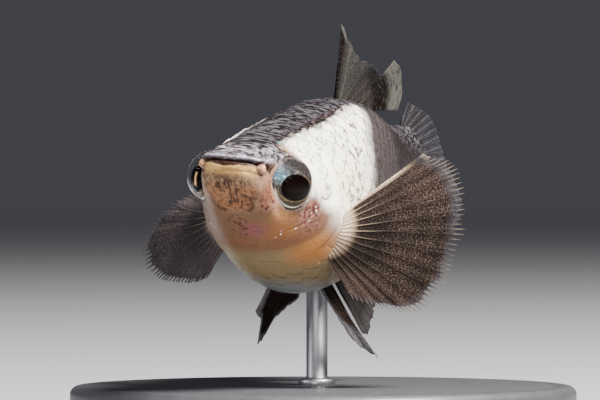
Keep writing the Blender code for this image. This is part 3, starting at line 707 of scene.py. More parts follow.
def skin():
    rings = skin_rings()
    turns = np.linspace(0, 2 * math.pi, SKIN_AROUND + 1)
    ring_y, turn = np.meshgrid(rings, turns, indexing="ij")
    ring_y = ring_y.ravel()
    turn = turn.ravel()
    spot = behind_gills(ring_y, turn)
    place = section(spot, turn)
    lift = head_relief(place, ring_y, turn) - SKIN_UNDER_SCALES * scaled(ring_y, turn, place)
    points = place + outward(spot, turn) * lift[:, None]
    columns = len(turns)
    column = np.repeat(np.arange(len(rings)), columns) / (len(rings) - 1)
    unwrap = np.stack((turn / (2 * math.pi), column), axis=1)
    faces = np.array(grid_faces(len(rings), columns))
    for side in (1, -1):
        points, faces, unwrap = line_socket(points, faces, unwrap, side)
    faces = faces.tolist()
    faces.append(list(range(columns - 1)))
    last = (len(rings) - 1) * columns
    faces.append([last + k for k in range(columns - 2, -1, -1)])
    made = fish_piece("skin", points, faces, skin_look(), body_masks(points), unwrap)
    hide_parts("head", "trunk", "tail_stalk")
    return made


def scale_places():
    """Ring, turn and length of every scale, in rows that interlock."""
    places = []
    ring = FIRST_SCALES
    row = 0
    while ring < TAIL_END - 0.2:
        pitch = between(*SCALE_PITCHES, float(ramp(ring, TAIL_END, 14.0)))
        for k in range(SCALE_COLUMNS):
            turn = 2 * math.pi * (k + 0.5 * (row % 2)) / SCALE_COLUMNS
            places.append((ring, turn, pitch))
        ring += pitch
        row += 1
    ring, turn, pitch = np.array(places).T
    length = SCALE_LENGTH * pitch
    centre = section(behind_gills(ring + length / 2, turn), turn)
    wanted = scaled(ring + length / 2, turn, centre) > 0.5
    crown = np.cos(turn) > 0.6
    edge = HEAD_END - 0.05
    passes = (ring < edge) & (ring + length > edge) & ~crown
    root = section(behind_gills(ring, turn), turn)
    from_eye = np.minimum(away_from(centre, EYE_PLACE), away_from(root, EYE_PLACE))
    clear = from_eye > EYE_RADIUS + 0.3
    keep = wanted & ~passes & clear
    return ring[keep], turn[keep], length[keep]


def scale_grid(chosen):
    """Share of the way along its scale of each point, the way across, and its ring and turn."""
    ring, turn, length = (values[:, None, None] for values in chosen)
    along_share = np.linspace(0, 1, SCALE_STEPS)[None, :, None]
    across = np.linspace(-1, 1, SCALE_ACROSS)[None, None, :]
    ripple = along_share * (1 - SCALE_ROUND * across ** 2)
    along = length * ripple
    spot_turn = turn + across * SCALE_WIDTH * (2 * math.pi / SCALE_COLUMNS) + 0 * along
    return ripple, across, behind_gills(ring + along, spot_turn), spot_turn


def scale_masks(painted, ripple, across, length):
    """Markings of the body where the scales lie, and those of the single scales."""
    masks = body_masks(painted)
    count = len(length)
    twice = np.concatenate((ripple.reshape(1, -1),) * 2, axis=1) + np.zeros((count, 1))
    masks["ripple"] = twice * length[:, None] / GROOVE_STEP
    masks["ticks"] = masks["silver"] * (0.72 + 0.26 * ramp(painted[:, 1], 8.0, 12.0))
    plain = np.maximum(np.maximum(masks["belly"], masks["rear"]), masks["back"])
    masks["crisp"] = (1 - 0.9 * plain) * (1 - 0.6 * ramp(painted[:, 1], 10.0, 8.5))
    round_edge = 1 - SCALE_ROUND * np.tile(across.ravel(), SCALE_STEPS * 2) ** 2
    masks["edge"] = ramp(twice / round_edge, 0.84, 1.0)
    masks["tone"] = np.repeat(RANDOM.uniform(0, 1, count), twice.shape[1])
    return masks


def scales(name, chosen, look):
    """Thin overlapping plates, their roots under the ones in front and their edges free."""
    ring, turn, length = chosen
    count = len(ring)
    ripple, across, spot, spot_turn = scale_grid(chosen)
    place = section(spot, spot_turn)
    normal = outward(spot, spot_turn)
    tilt = RANDOM.uniform(*SCALE_TILTS, count)[:, None, None]
    proud = SCALE_PROUD - 0.08 * ramp(place[..., 2], -2.8, -4.4)
    lift = proud * tilt * ripple - SCALE_SUNK - SCALE_CURVE * across ** 2
    outer = place + normal * lift[..., None]
    inner = outer - normal * SCALE_THICK
    outer = outer.reshape(count, -1, 3)
    points = np.concatenate((outer, inner.reshape(count, -1, 3)), axis=1)
    faces = np.array(sheet_faces(SCALE_STEPS, SCALE_ACROSS, True))
    faces = (np.arange(count)[:, None, None] * points.shape[1] + faces[None]).reshape(-1, 4)
    painted = (0.75 * points + 0.25 * outer.mean(axis=1, keepdims=True)).reshape(-1, 3)
    masks = scale_masks(painted, ripple, across, length)
    root = np.stack(((turn / (2 * math.pi)) % 1, ring / 32), axis=1)[:, None, :]
    local_u = np.tile(np.tile((across.ravel() + 1) / 2, SCALE_STEPS), 2)
    local_v = np.tile(np.repeat(np.linspace(0, 1, SCALE_STEPS), SCALE_ACROSS), 2)
    unwrap = root + SCALE_UNWRAP * np.stack((local_u, local_v), axis=1)[None]
    return fish_piece(name, points.reshape(-1, 3), faces.tolist(), look, masks,
                      unwrap.reshape(-1, 2))


def coat():
    look = scale_look()
    ring, turn, length = scale_places()
    left = np.sin(turn) >= 0
    for name, chosen in (("scales_left", left), ("scales_right", ~left)):
        scales(name, (ring[chosen], turn[chosen], length[chosen]), look)


# Eyes

PUPIL_RADIUS = 0.78
PUPIL_OFFSET = (0.12, -0.18)
PUPIL_LONG = 1.12
PUPIL_LOW = 0.85
LENS_RISE = 0.26
EYE_AROUND = 128
PUPIL_AROUND = 96
ARC_STEPS = 40
IRIS_STEPS = 36
LENS_STEPS = 28
CORNEA_THICK = 0.03
POLE = 0.001
IRIS_PROFILE = ((1.21, 0.42), (1.17, 0.47), (1.10, 0.54), (1.00, 0.63), (0.90, 0.72),
                (0.80, 0.78), (0.68, 0.81), (0.55, 0.82))


def turned_piece(name, profile, steps, placing, look, masks=None):
    """A turned form about its own z, from (radius, height) points in millimetres."""
    angles = np.linspace(0, 2 * math.pi, steps, endpoint=False)
    radius, height = np.array(profile).T
    x = radius[:, None] * np.cos(angles)
    y = radius[:, None] * np.sin(angles)
    points = np.stack((x, y, height[:, None] + 0 * x), axis=-1).reshape(-1, 3)
    last = (len(profile) - 1) * steps
    faces = []
    for ring in range(0, last, steps):
        for k in range(steps):
            here = ring + k
            beside = ring + (k + 1) % steps
            faces.append((here, beside, beside + steps, here + steps))
    if radius[0] > POLE:
        faces.append(list(range(steps - 1, -1, -1)))
    if radius[-1] > POLE:
        faces.append([last + k for k in range(steps)])
    made = fish_piece(name, points, faces, look, masks(points) if masks else None)
    made.matrix_world = placing
    return made


def eye_placing(side):
    """The eye's own frame: z the way it looks and y up."""
    centre, gaze = eye_side(side)
    z_axis = Vector(gaze)
    y_axis = Vector((0, 0, 1))
    turning = Matrix((y_axis.cross(z_axis), y_axis, z_axis)).transposed().to_4x4()
    return FISH @ Matrix.Translation(Vector(centre) * MM) @ turning


def arc(radius, start, end, steps):
    """(radius, height) points round a ball, by their angle from its front pole."""
    angles = np.radians(np.linspace(start, end, steps))
    return [(radius * math.sin(angle), radius * math.cos(angle)) for angle in angles]


def eye_look():
    look, tree, _ = material("iris", roughness=0.34, coat=0.1, coat_roughness=0.08, specular=0.2)
    relief = grain(tree, (8, 8, 8), 4.0)
    speckle = soft_step(relief, 0.38, 0.62)
    # White flecks of the painted reflection on the iris.
    glint_flecks = soft_step(grain(tree, (7, 7, 7), 2.0), 0.52, 0.64)
    colour = mixed(speckle, (0.0165, 0.010, 0.004), (0.080, 0.048, 0.0225))
    for mask, pattern, dark, light in (
            ("iris_top", speckle, (0.0145, 0.011, 0.0105), (0.096, 0.079, 0.078)),
            ("iris_front", speckle, (0.0125, 0.0095, 0.0065), (0.042, 0.034, 0.023)),
            ("iris_lilac", speckle, (0.22, 0.20, 0.22), (0.48, 0.45, 0.48)),
            # Painted reflection: a blue patch with white glints.
            ("iris_blue_reflection", glint_flecks, (0.085, 0.22, 0.30), (0.90, 0.98, 1.0)),
            ("iris_gold", speckle, (0.10, 0.06, 0.02), (0.34, 0.23, 0.09))):
        colour = mixed(attribute(tree, mask), colour, mixed(pattern, dark, light))
    colour = mixed(attribute(tree, "iris_white"), colour, (0.95, 0.90, 0.76))
    return dressed(look, colour, relief, 0.5, 0.03)


def iris_masks(side):
    """Colours of the iris and a painted reflection on its front, by their place on it, for the eye
    of one side.
    """
    def masks(points):
        front = points[:, 0] * -side
        up = points[:, 1]
        reach = np.hypot(front, up)
        pupil = np.hypot((front - PUPIL_OFFSET[0]) / PUPIL_LONG,
                         (up - PUPIL_OFFSET[1]) / PUPIL_LOW)
        snout = ramp(front, 0.62, 0.92)
        low = np.maximum(ramp(front, 0.1, -0.4), ramp(up, -0.1, -0.55))
        return {
            "iris_top": ramp(up, -0.1, 0.35) * (1 - snout),
            "iris_front": snout,
            "iris_lilac": snout * ramp(up, 0.40, 0.62),
            # Painted reflection of a light: a blue patch with white glints at the front of the
            # iris.
            "iris_blue_reflection": bump(np.hypot(front - 0.97, up - 0.36), 0, 0.34),
            "iris_gold": (0.10 + 0.75 * low) * bump(pupil, PUPIL_RADIUS + 0.05, 0.03),
            "iris_white": low * bump(reach, 1.165, 0.03),
        }
    return masks


def pupil_masks(side):
    """The right pupil carries a bright gold crescent at its front, a painted highlight, which shows
    past the snout.
    """
    def masks(points):
        front = points[:, 0] * -side
        # Painted highlight: a bright gold crescent at the front of the right pupil.
        crescent = bump(front, 0.32, 0.08) * ramp(np.abs(points[:, 1]), 0.46, 0.28)
        return {"glow": crescent * (side < 0)}
    return masks


def pupil_look():
    look, tree, _ = material("pupil", roughness=0.15, specular=0.04)
    colour = mixed(grain(tree, (2, 2, 2)), (0.001, 0.0002, 0.0002), (0.003, 0.0006, 0.0004))
    # The gold crescent is a painted highlight.
    return dressed(look, mixed(attribute(tree, "glow"), colour, (1.0, 0.56, 0.27)))


def cornea_look():
    look, tree, sockets = material("cornea", roughness=0.02)
    sockets["Transmission Weight"].default_value = 1.0
    sockets["IOR"].default_value = 1.07
    return dressed(look, mixed(grain(tree, (1, 1, 1)), (0.96, 0.97, 0.96), (1.0, 1.0, 1.0)))


def eye(side, looks):
    name = "eye_left" if side > 0 else "eye_right"
    placing = eye_placing(side)
    ball_radius = EYE_RADIUS - 0.02
    rim_angle = math.degrees(math.asin(IRIS_PROFILE[0][0] / ball_radius))
    inward = [(-radius, height) for radius, height in IRIS_PROFILE]
    places = np.linspace(inward[0][0], inward[-1][0], IRIS_STEPS)
    levels = smooth_through(inward, places)
    profile = arc(ball_radius, 180, rim_angle, ARC_STEPS)[:-1]
    profile += zip((-places).tolist(), levels.tolist())
    profile.append((POLE, IRIS_PROFILE[-1][1] - 0.05))
    profile[0] = (POLE, -ball_radius)
    ball = turned_piece(name + "_ball", profile, EYE_AROUND, placing, looks[0],
                        iris_masks(side))
    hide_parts(name)
    offset = Matrix.Translation((-side * PUPIL_OFFSET[0] * MM, PUPIL_OFFSET[1] * MM, 0))
    offset = offset @ Matrix.Diagonal((PUPIL_LONG, PUPIL_LOW, 1, 1))
    lens = [(radius, height / PUPIL_RADIUS * LENS_RISE + IRIS_PROFILE[-2][1] - 0.01)
            for radius, height in arc(PUPIL_RADIUS, 105, 0.1, LENS_STEPS)]
    turned_piece(name + "_pupil", lens, PUPIL_AROUND, placing @ offset, looks[1],
                 pupil_masks(side))
    window = arc(EYE_RADIUS, rim_angle + 1, 0.1, ARC_STEPS)
    window += arc(EYE_RADIUS - CORNEA_THICK, 0.1, rim_angle + 1, ARC_STEPS)
    turned_piece(name + "_cornea", window, EYE_AROUND, placing, looks[2])


def eyes():
    looks = (eye_look(), pupil_look(), cornea_look())
    for side in (1, -1):
        eye(side, looks)


# Fins

FIN_SUNK = 0.22
FIN_THIN = 0.05
RAY_HEIGHT = 0.04
RAY_WIDTH = 0.05
FIRST_FORK = 0.42
SECOND_FORK = 0.7
RAY_LENGTHS = (-0.05, 0.02)
COLUMNS_A_GAP = 24
CLEAR = (0.028, 0.025, 0.028)


def fin_look(name, tones, fine):
    """A membrane speckled in strokes that follow the rays.

    tones are the membrane's, its specks', the rays', the pale parts' and the dark parts'. fine
    is how many strokes fit across the fin and along it.
    """
    membrane, speck, ray, pale, dark = tones
    look, tree, _ = material(name, roughness=0.6, specular=0.05)
    across = times(attribute(tree, "share"), fine[0])
    along = times(attribute(tree, "along"), fine[1])
    place = node(tree, "ShaderNodeCombineXYZ", ((0, across), (1, along))).outputs[0]
    strokes = noise(place, 2.0, 0.6)
    cloud = soft_step(grain(tree, (0.8, 0.8, 0.8)), 0.42, 0.62)
    colour = mixed(soft_step(strokes, 0.50, 0.62), membrane, speck)
    for share, tone in (
            (times(attribute(tree, "ray"), 0.75), ray),
            (times(cloud, 0.35), dark),
            (times(attribute(tree, "dark"), soft_step(strokes, 0.78, 0.46)), dark),
            (attribute(tree, "clear"), CLEAR),
            (times(attribute(tree, "pale"), soft_step(strokes, 0.30, 0.52)), pale)):
        colour = mixed(share, colour, tone)
    return dressed(look, colour, strokes, 0.4, 0.02)


def from_ray(share, t, gaps, spread):
    """Distance from the nearest twig, as a share of the fin's base; each ray forks twice."""
    fork = 0.25 / gaps * np.clip((t - FIRST_FORK) / (1 - FIRST_FORK), 0, 1) ** 0.8
    twig = spread / gaps * np.clip((t - SECOND_FORK) / (1 - SECOND_FORK), 0, 1) ** 0.8
    away = np.full((len(share), len(t)), 9.0)
    for ray in range(gaps + 1):
        for first in (-1, 1):
            for second in (-1, 1):
                middle = ray / gaps + first * fork + second * twig
                away = np.minimum(away, np.abs(share[:, None] - middle[None, :]))
    return away


def ray_reach(share, gaps, notch, hairs, ragged, tips_a_gap):
    """How far the fin reaches at each share: to the tips of the rays, less between them."""
    from_tip = np.abs((share * gaps * tips_a_gap) % 1 - 0.5) * 2
    lengths = RANDOM.uniform(*RAY_LENGTHS, 2 * gaps + 1)
    uneven = np.interp(share, np.linspace(0, 1, 2 * gaps + 1), lengths)
    reach = 1 - notch * (1 - ramp(from_tip, hairs, hairs * 0.2)) + ragged * uneven
    first = share < 0.5 / gaps
    reach[first] = np.maximum(reach[first], 0.97)
    return reach


def fin(name, root, margin, rays, look, paint, bow=None, rows=64, notch=0.12, fleshy=0.0,
        hairs=0.45, ragged=1.0, tips_a_gap=2, spread=0.07):
    """A thin fin whose rays branch twice and stand past the membrane's edge.

    root gives the point on the body's skin and the way out of it for a share along the base,
    margin the places of the ray tips, paint the pale, dark and clear masks, and bow how far the
    fin bends away from flat. notch is how far the membrane ends short of the tips, fleshy how
    thick the fin's foot is, hairs how wide the free tips are, as a share of the space between
    them, ragged how much their lengths differ, tips_a_gap how many there are from one ray to the
    next and spread how far the last twigs part.
    """
    gaps = rays - 1
    columns = gaps * COLUMNS_A_GAP + 1
    share = np.linspace(0, 1, columns)
    t = np.linspace(0, 1, rows)
    start = np.array([base - way * FIN_SUNK for base, way in map(root, share)])
    tip = np.stack([smooth_through([(place, spot[axis]) for place, spot in margin], share)
                    for axis in range(3)], axis=1)
    reach = ray_reach(share, gaps, notch, hairs, ragged, tips_a_gap)
    along = t[None, :] * reach[:, None]
    middle = start[:, None, :] + (tip - start)[:, None, :] * along[..., None]
    if bow:
        middle = middle + bow(share[:, None], along)
    across = np.gradient(middle, axis=0)
    away = from_ray(share, t, gaps, spread) * np.linalg.norm(across, axis=2) * (columns - 1)
    closeness = np.exp(-(away / (RAY_WIDTH * (1 - 0.45 * along))) ** 2)
    square = np.cross(across, np.gradient(middle, axis=1)).sum(axis=(0, 1))
    square /= np.linalg.norm(square)
    ray_height = RAY_HEIGHT * (1 + 0.6 * ramp(share, 0.6 / gaps, 0.0)[:, None])
    half = FIN_THIN / 2 * (1 - 0.4 * along) + ray_height * closeness * (1 - 0.6 * along)
    half += fleshy * bump(along, 0, 0.10)
    folds = 0.03 * np.cos(share * gaps * 2 * math.pi)[:, None] * along
    front = middle + square * (folds + half)[..., None]
    rear = middle + square * (folds - half)[..., None]
    points = np.concatenate((front.reshape(-1, 3), rear.reshape(-1, 3)))
    masks = {"ray": closeness, "along": along, "share": share[:, None] + 0 * along,
             "clear": 0 * along}
    masks.update(paint(masks["share"], along, closeness, 1 - notch))
    masks = {mask: np.tile(values.ravel(), 2) for mask, values in masks.items()}
    unwrap = np.stack((masks["share"] * 0.48, np.tile(t, 2 * columns) * 0.98), axis=1) + 0.01
    unwrap[columns * rows:, 0] += 0.5
    made = fish_piece(name + "_rays", points, sheet_faces(columns, rows), look, masks, unwrap)
    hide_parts(name)
    return made


def middle_root(start, end, turn):
    """The base of a fin in the middle of the back, or of the belly with a turn of pi."""
    def root(share):
        y = between(start, end, share)
        return section(y, turn), outward(y, turn)
    return root


def sideways(height, waves):
    """A wave of the whole fin, from side to side, that grows towards its edge."""
    def bow(share, t):
        wave = height * t * t * np.sin(waves * math.pi * share)
        return np.stack((wave, 0 * wave, 0 * wave), axis=-1)
    return bow


# Pectoral fins: base on the flank, sweep back from the side, and the reach of the rays
PECTORAL_BEHIND = 9.0
PECTORAL_TOP = -2.5
PECTORAL_BOTTOM = -4.65
PECTORAL_SWEEP = math.radians(41.0)
PECTORAL_REACH = 7.0
LEFT_SHAPE = ((0.0, 0.77), (0.12, 0.94), (0.33, 1.02), (0.58, 0.97), (0.78, 0.76), (1.0, 0.36))
RIGHT_SHAPE = ((0.0, 0.6), (0.12, 0.84), (0.26, 1.07), (0.41, 1.13), (0.6, 0.92), (0.8, 0.54),
               (1.0, 0.3))
LEFT_FAN = (math.radians(40.0), math.radians(-56.0))
RIGHT_FAN = (math.radians(14.0), math.radians(-56.0))
RIGHT_TWIST = math.radians(28.0)
RIGHT_TWIST_UNTIL = 0.35
LEFT_TONES = ((0.0115, 0.0068, 0.0055), (0.066, 0.044, 0.034), (0.031, 0.022, 0.0175),
              (0.46, 0.34, 0.23), (0.0025, 0.0016, 0.0012))
# Painted light: the right fin lies in shade, and its membrane, specks and rays are painted lighter
# than the left fin's.
RIGHT_LIT_TONES = ((0.028, 0.021, 0.022), (0.125, 0.098, 0.100), (0.085, 0.066, 0.064),
               (0.34, 0.26, 0.20), (0.012, 0.009, 0.009))


def pectoral_root(side):
    def root(share):
        level = between(PECTORAL_TOP, PECTORAL_BOTTOM, share)
        turn = turn_at_level(PECTORAL_BEHIND, level) * side
        return section(PECTORAL_BEHIND, turn), outward(PECTORAL_BEHIND, turn)
    return root


def pectoral_margin(side, fan, shape, twist):
    root = pectoral_root(side)
    margin = []
    for share, reach_share in shape:
        sweep = PECTORAL_SWEEP + twist * max(0.0, 1 - share / RIGHT_TWIST_UNTIL)
        angle = between(*fan, share)
        way = np.array((math.cos(sweep) * side * math.cos(angle),
                        math.sin(sweep) * math.cos(angle), math.sin(angle)))
        margin.append((share, root(share)[0] + way * PECTORAL_REACH * reach_share))
    return margin


def pectoral_paint(share, along, ray, edge):
    upper = ramp(share, 0.62, 0.35)
    streaks = ray ** 8 * ramp(along, 0.38, 0.08) * (0.06 + 0.94 * upper)
    hairs = ramp(along, edge + 0.01, edge + 0.05)
    gaps_dark = ramp(ray, 0.5, 0.1) * ramp(along, 0.10, 0.22)
    return {
        "pale": np.clip(ramp(along, 0.15, 0.05) * (0.45 + 0.55 * upper) + streaks + 0.2 * hairs
                        + ramp(share, 0.03, 0.01) * ramp(along, 0.9, 0.5), 0, 1),
        "dark": np.clip(0.6 * gaps_dark * ramp(along, 0.55, 0.25)
                        + 0.5 * ramp(share, 0.14, 0.36) * ramp(share, 0.88, 0.60), 0, 1),
        "clear": np.clip(ramp(along, edge - 0.07, edge - 0.01) * 0.6 + hairs, 0, 1),
    }


def pectoral_cup(side):
    """The fin is hollow towards the front."""
    back = np.array((-math.sin(PECTORAL_SWEEP) * side, math.cos(PECTORAL_SWEEP), 0.0))

    def bow(share, t):
        return back * (0.5 * t * t * np.sin(math.pi * share))[..., None]
    return bow


def pectoral_fins():
    for side, name, fan, shape, twist, tones in (
            (1, "left", LEFT_FAN, LEFT_SHAPE, 0.0, LEFT_TONES),
            (-1, "right", RIGHT_FAN, RIGHT_SHAPE, RIGHT_TWIST, RIGHT_LIT_TONES)):
        look = fin_look("pectoral_" + name, tones, (130.0, 70.0))
        margin = pectoral_margin(side, fan, shape, twist)
        fin("pectoral_fin_" + name, pectoral_root(side), margin, 14, look,
            pectoral_paint, pectoral_cup(side), notch=0.10, fleshy=0.24, hairs=0.45,
            tips_a_gap=4, spread=0.125)


# Dorsal fin: base along the ridge of the back, then its margin from the front ray to the last
DORSAL_BASE = (17.3, 21.6)
DORSAL_MARGIN = (
    (0.0, (-0.1, 17.5, 7.1)),
    (0.09, (0.0, 18.2, 6.15)),
    (0.18, (0.0, 19.6, 5.4)),
    (0.36, (0.0, 23.3, 4.85)),
    (0.56, (0.1, 26.1, 4.15)),
    (0.7, (0.1, 27.2, 3.65)),
    (0.84, (0.0, 28.3, 5.3)),
    (0.93, (0.0, 29.5, 4.15)),
    (1.0, (0.2, 27.8, 2.6)),
)


def dorsal_paint(share, along, ray, edge):
    band = 0.96 - 0.46 * ramp(share, 0.25, 1.0)
    return {
        "pale": np.clip(ramp(share, 0.07, 0.12) * ramp(share, 0.36, 0.16) * (0.30 + 0.5 * ray)
                        + 0.75 * ramp(share, 0.62, 0.78) * ramp(along, 0.62, 0.80)
                        + ramp(share, 0.1, 0.05) * ramp(along, 0.90, 0.95), 0, 1),
        "dark": np.clip(ramp(share, 0.07, 0.035) * ramp(along, 0.93, 0.86)
                        + 1.8 * bump(along, band, 0.16) * ramp(share, 0.24, 0.40), 0, 1),
        "clear": 0.7 * ramp(along, edge - 0.02, edge + 0.03),
    }


def dorsal_fin():
    look = fin_look("dorsal_membrane",
                    ((0.013, 0.0105, 0.010), (0.022, 0.019, 0.018), (0.030, 0.025, 0.017),
                     (0.050, 0.049, 0.041), (0.0014, 0.0004, 0.0002)), (40.0, 30.0))
    fin("dorsal_fin", middle_root(*DORSAL_BASE, 0.0), DORSAL_MARGIN, 8, look,
        dorsal_paint, sideways(0.35, 2.2), notch=0.03, fleshy=0.06, hairs=0.9, ragged=0.25)


# Tail fin: base up the end of the tail, then its margin from the upper edge to the lower
CAUDAL_ROOT_TOP = 1.55
CAUDAL_ROOT_BOTTOM = -1.75
CAUDAL_MARGIN = (
    (0.0, (-0.3, 31.5, 3.05)),
    (0.12, (-0.2, 33.2, 2.65)),
    (0.26, (0.0, 35.2, 2.0)),
    (0.4, (0.3, 37.4, 1.1)),
    (0.55, (0.5, 39.2, -0.3)),
    (0.7, (0.7, 40.1, -2.0)),
    (0.85, (0.6, 38.9, -3.9)),
    (1.0, (0.2, 35.2, -4.5)),
)


def caudal_root(share):
    level = between(CAUDAL_ROOT_TOP, CAUDAL_ROOT_BOTTOM, share)
    return np.array((0.0, TAIL_END, level)), np.array((0.0, 1.0, 0.0))


def caudal_paint(share, along, ray, edge):
    return {
        "pale": 0.6 * ray * ramp(along, 0.25, 0.5),
        "dark": np.maximum(ramp(along, 0.36, 0.10), 0.6 * ramp(share, 0.35, 0.0)),
        "clear": 0.7 * ramp(along, edge - 0.02, edge + 0.03),
    }


def tail_fin():
    look = fin_look("tail_membrane",
                    ((0.017, 0.0155, 0.0175), (0.024, 0.023, 0.0265), (0.029, 0.0275, 0.031),
                     (0.042, 0.041, 0.046), (0.0055, 0.0043, 0.0041)), (60.0, 20.0))
    fin("tail_fin", caudal_root, CAUDAL_MARGIN, 16, look, caudal_paint,
        sideways(0.4, 3), notch=0.02, fleshy=0.3, hairs=0.9, ragged=0.12)


# Pelvic fins: each base on the belly, then the margin from the front ray to the last
RIGHT_PELVIC_BASE = ((-1.6, 14.0), (-0.35, 15.2))
RIGHT_PELVIC_MARGIN = (
    (0.0, (-2.66, 15.0, -8.15)),
    (0.1, (-2.48, 15.4, -8.5)),
    (0.22, (-2.71, 16.0, -9.83)),
    (0.38, (-2.42, 16.0, -9.49)),
    (0.55, (-2.01, 16.0, -8.58)),
    (0.78, (-1.29, 15.9, -7.78)),
    (1.0, (-0.58, 15.7, -7.19)),
)
LEFT_PELVIC_BASE = ((1.05, 13.9), (1.3, 14.9))
LEFT_PELVIC_MARGIN = (
    (0.0, (1.91, 15.2, -8.18)),
    (0.3, (2.48, 16.3, -9.24)),
    (0.55, (3.46, 17.2, -9.94)),
    (0.75, (2.69, 16.6, -8.97)),
    (1.0, (2.31, 15.8, -8.05)),
)


def belly_root(base):
    def root(share):
        x, y = (between(first, last, share) for first, last in zip(*base))
        turn = turn_at_side(y, x)
        return section(y, turn), outward(y, turn)
    return root


def pelvic_paint(share, along, *_):
    pale = np.maximum(ramp(share, 0.09, 0.03), ramp(along, 0.80, 0.93))
    pale = np.maximum(pale, ramp(share, 0.93, 0.98))
    return {"pale": 0.85 * pale, "dark": 0.85 * (1 - pale)}


def left_pelvic_paint(share, along, *_):
    pale = np.maximum(ramp(share, 0.10, 0.03), ramp(along, 0.55, 0.78))
    dark = ramp(along, 0.62, 0.25) + ramp(share, 0.70, 0.92) * ramp(along, 0.85, 0.6)
    return {"pale": 0.9 * pale, "dark": np.clip(0.9 * dark, 0, 1) * (1 - pale)}


def pelvic_fins():
    look = fin_look("pelvic_membrane",
                    ((0.022, 0.014, 0.010), (0.045, 0.032, 0.025), (0.035, 0.024, 0.018),
                     (0.13, 0.12, 0.135), (0.003, 0.001, 0.0007)), (34.0, 30.0))
    for name, base, margin, paint, ragged in (
            ("left", LEFT_PELVIC_BASE, LEFT_PELVIC_MARGIN, left_pelvic_paint, 0.2),
            ("right", RIGHT_PELVIC_BASE, RIGHT_PELVIC_MARGIN, pelvic_paint, 0.3)):
        fin("pelvic_fin_" + name, belly_root(base), margin, 6, look, paint, rows=56,
            notch=0.03, hairs=0.9, ragged=ragged)


# Anal fin: a male's is a slender rod, swung to the fish's left
ANAL_BASE = (18.3, 19.8)
ANAL_MARGIN = (
    (0.0, (1.3, 21.5, -9.04)),
    (0.3, (1.35, 22.2, -9.1)),
    (0.6, (1.45, 22.6, -8.1)),
    (1.0, (1.55, 22.6, -7.25)),
)


def anal_paint(share, along, *_):
    return {"pale": 0.5 * ramp(along, 0.75, 0.95), "dark": 0.7 * bump(along, 0.45, 0.2)}


def anal_fin():
    look = fin_look("anal_membrane",
                    ((0.011, 0.009, 0.0085), (0.019, 0.016, 0.015), (0.017, 0.015, 0.013),
                     (0.034, 0.031, 0.031), (0.003, 0.0022, 0.002)), (24.0, 30.0))
    fin("anal_fin", middle_root(*ANAL_BASE, math.pi), ANAL_MARGIN, 5, look,
        anal_paint, rows=56, notch=0.02, fleshy=0.05, ragged=0.2)


# Stand

BASE_RADIUS = 13.0
BASE_HEIGHT = 2.2
BASE_EDGE = 0.45
BASE_EDGE_STEPS = 8
BASE_AROUND = 160
ROD_AROUND = 64
ROD_RADIUS = 0.55
ROD_BEHIND = 16.7


def plinth_look():
    look, tree, sockets = material("plinth", roughness=0.42, coat=0.2, coat_roughness=0.25)
    fine = grain(tree, (9, 9, 9))
    feed(sockets["Roughness"], maths("MULTIPLY_ADD", fine, 0.2, 0.5))
    cloud = grain(tree, (1.5, 1.5, 1.5), 6.0)
    return dressed(look, mixed(cloud, (0.022, 0.022, 0.025), (0.05, 0.05, 0.055)), fine, 0.3, 0.01)


def steel_look():
    look, tree, _ = material("brushed_steel", roughness=0.42, metallic=1.0)
    brushed = grain(tree, (14, 14, 0.6), 4.0)
    colour = mixed(brushed, (0.34, 0.34, 0.36), (0.48, 0.48, 0.50))
    return dressed(look, colour, brushed, 0.35, 0.01)


def stand():
    base = [(POLE, 0.0), (BASE_RADIUS - 0.5, 0.0), (BASE_RADIUS - 0.15, 0.12)]
    base += [(BASE_RADIUS - 0.02, 0.35), (BASE_RADIUS, 0.6),
             (BASE_RADIUS, BASE_HEIGHT - BASE_EDGE)]
    for k in range(1, BASE_EDGE_STEPS + 1):
        angle = math.pi / 2 * k / BASE_EDGE_STEPS
        base.append((BASE_RADIUS - BASE_EDGE + BASE_EDGE * math.cos(angle),
                     BASE_HEIGHT - BASE_EDGE + BASE_EDGE * math.sin(angle)))
    base += [(BASE_RADIUS - 0.9, BASE_HEIGHT), (BASE_RADIUS - 1.0, BASE_HEIGHT - 0.05),
             (BASE_RADIUS - 1.15, BASE_HEIGHT - 0.05), (BASE_RADIUS - 1.25, BASE_HEIGHT),
             (POLE, BASE_HEIGHT)]
    plinth = turned_piece("plinth", base, BASE_AROUND, Matrix.Identity(4), plinth_look())
    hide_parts("stand_base")
    belly = FISH @ (Vector((0, ROD_BEHIND, float(station(ROD_BEHIND)[2]))) * MM) / MM
    top = belly.z + 0.05
    rod = [(POLE, BASE_HEIGHT - 0.1), (0.95, BASE_HEIGHT - 0.1), (0.95, BASE_HEIGHT + 0.22)]
    rod += [(0.88, BASE_HEIGHT + 0.32), (ROD_RADIUS + 0.05, BASE_HEIGHT + 0.36)]
    rod += [(ROD_RADIUS, BASE_HEIGHT + 0.42), (ROD_RADIUS, top - 0.2), (ROD_RADIUS - 0.05, top)]
    rod.append((POLE, top))
    placing = Matrix.Translation((belly.x * MM, belly.y * MM, 0))
    post = turned_piece("post", rod, ROD_AROUND, placing, steel_look())
    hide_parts("stand_rod")


# View and light

VIEW_AZIMUTH = math.radians(17.0)
VIEW_ELEVATION = math.radians(0.5)
VIEW_DISTANCE = 300.0
MM_A_PIXEL = 0.049
FRAME_WIDTH = 600
FRAME_HEIGHT = 400
MOUTH_PIXEL = (236.0, 160.0)
MOUTH_PLACE = (0.0, 1.2, 0.0)
SENSOR_WIDTH = 36
LIGHT_AIM = (0, -4, 13)
FLOOR_RADIUS = 4.0
BACKGROUND = (0.060, 0.060, 0.071)


def from_target(azimuth, elevation):
    """Unit vector from the fish towards an azimuth to its left of straight ahead."""
    return Vector((math.sin(azimuth) * math.cos(elevation),
                   -math.cos(azimuth) * math.cos(elevation),
                   math.sin(elevation)))


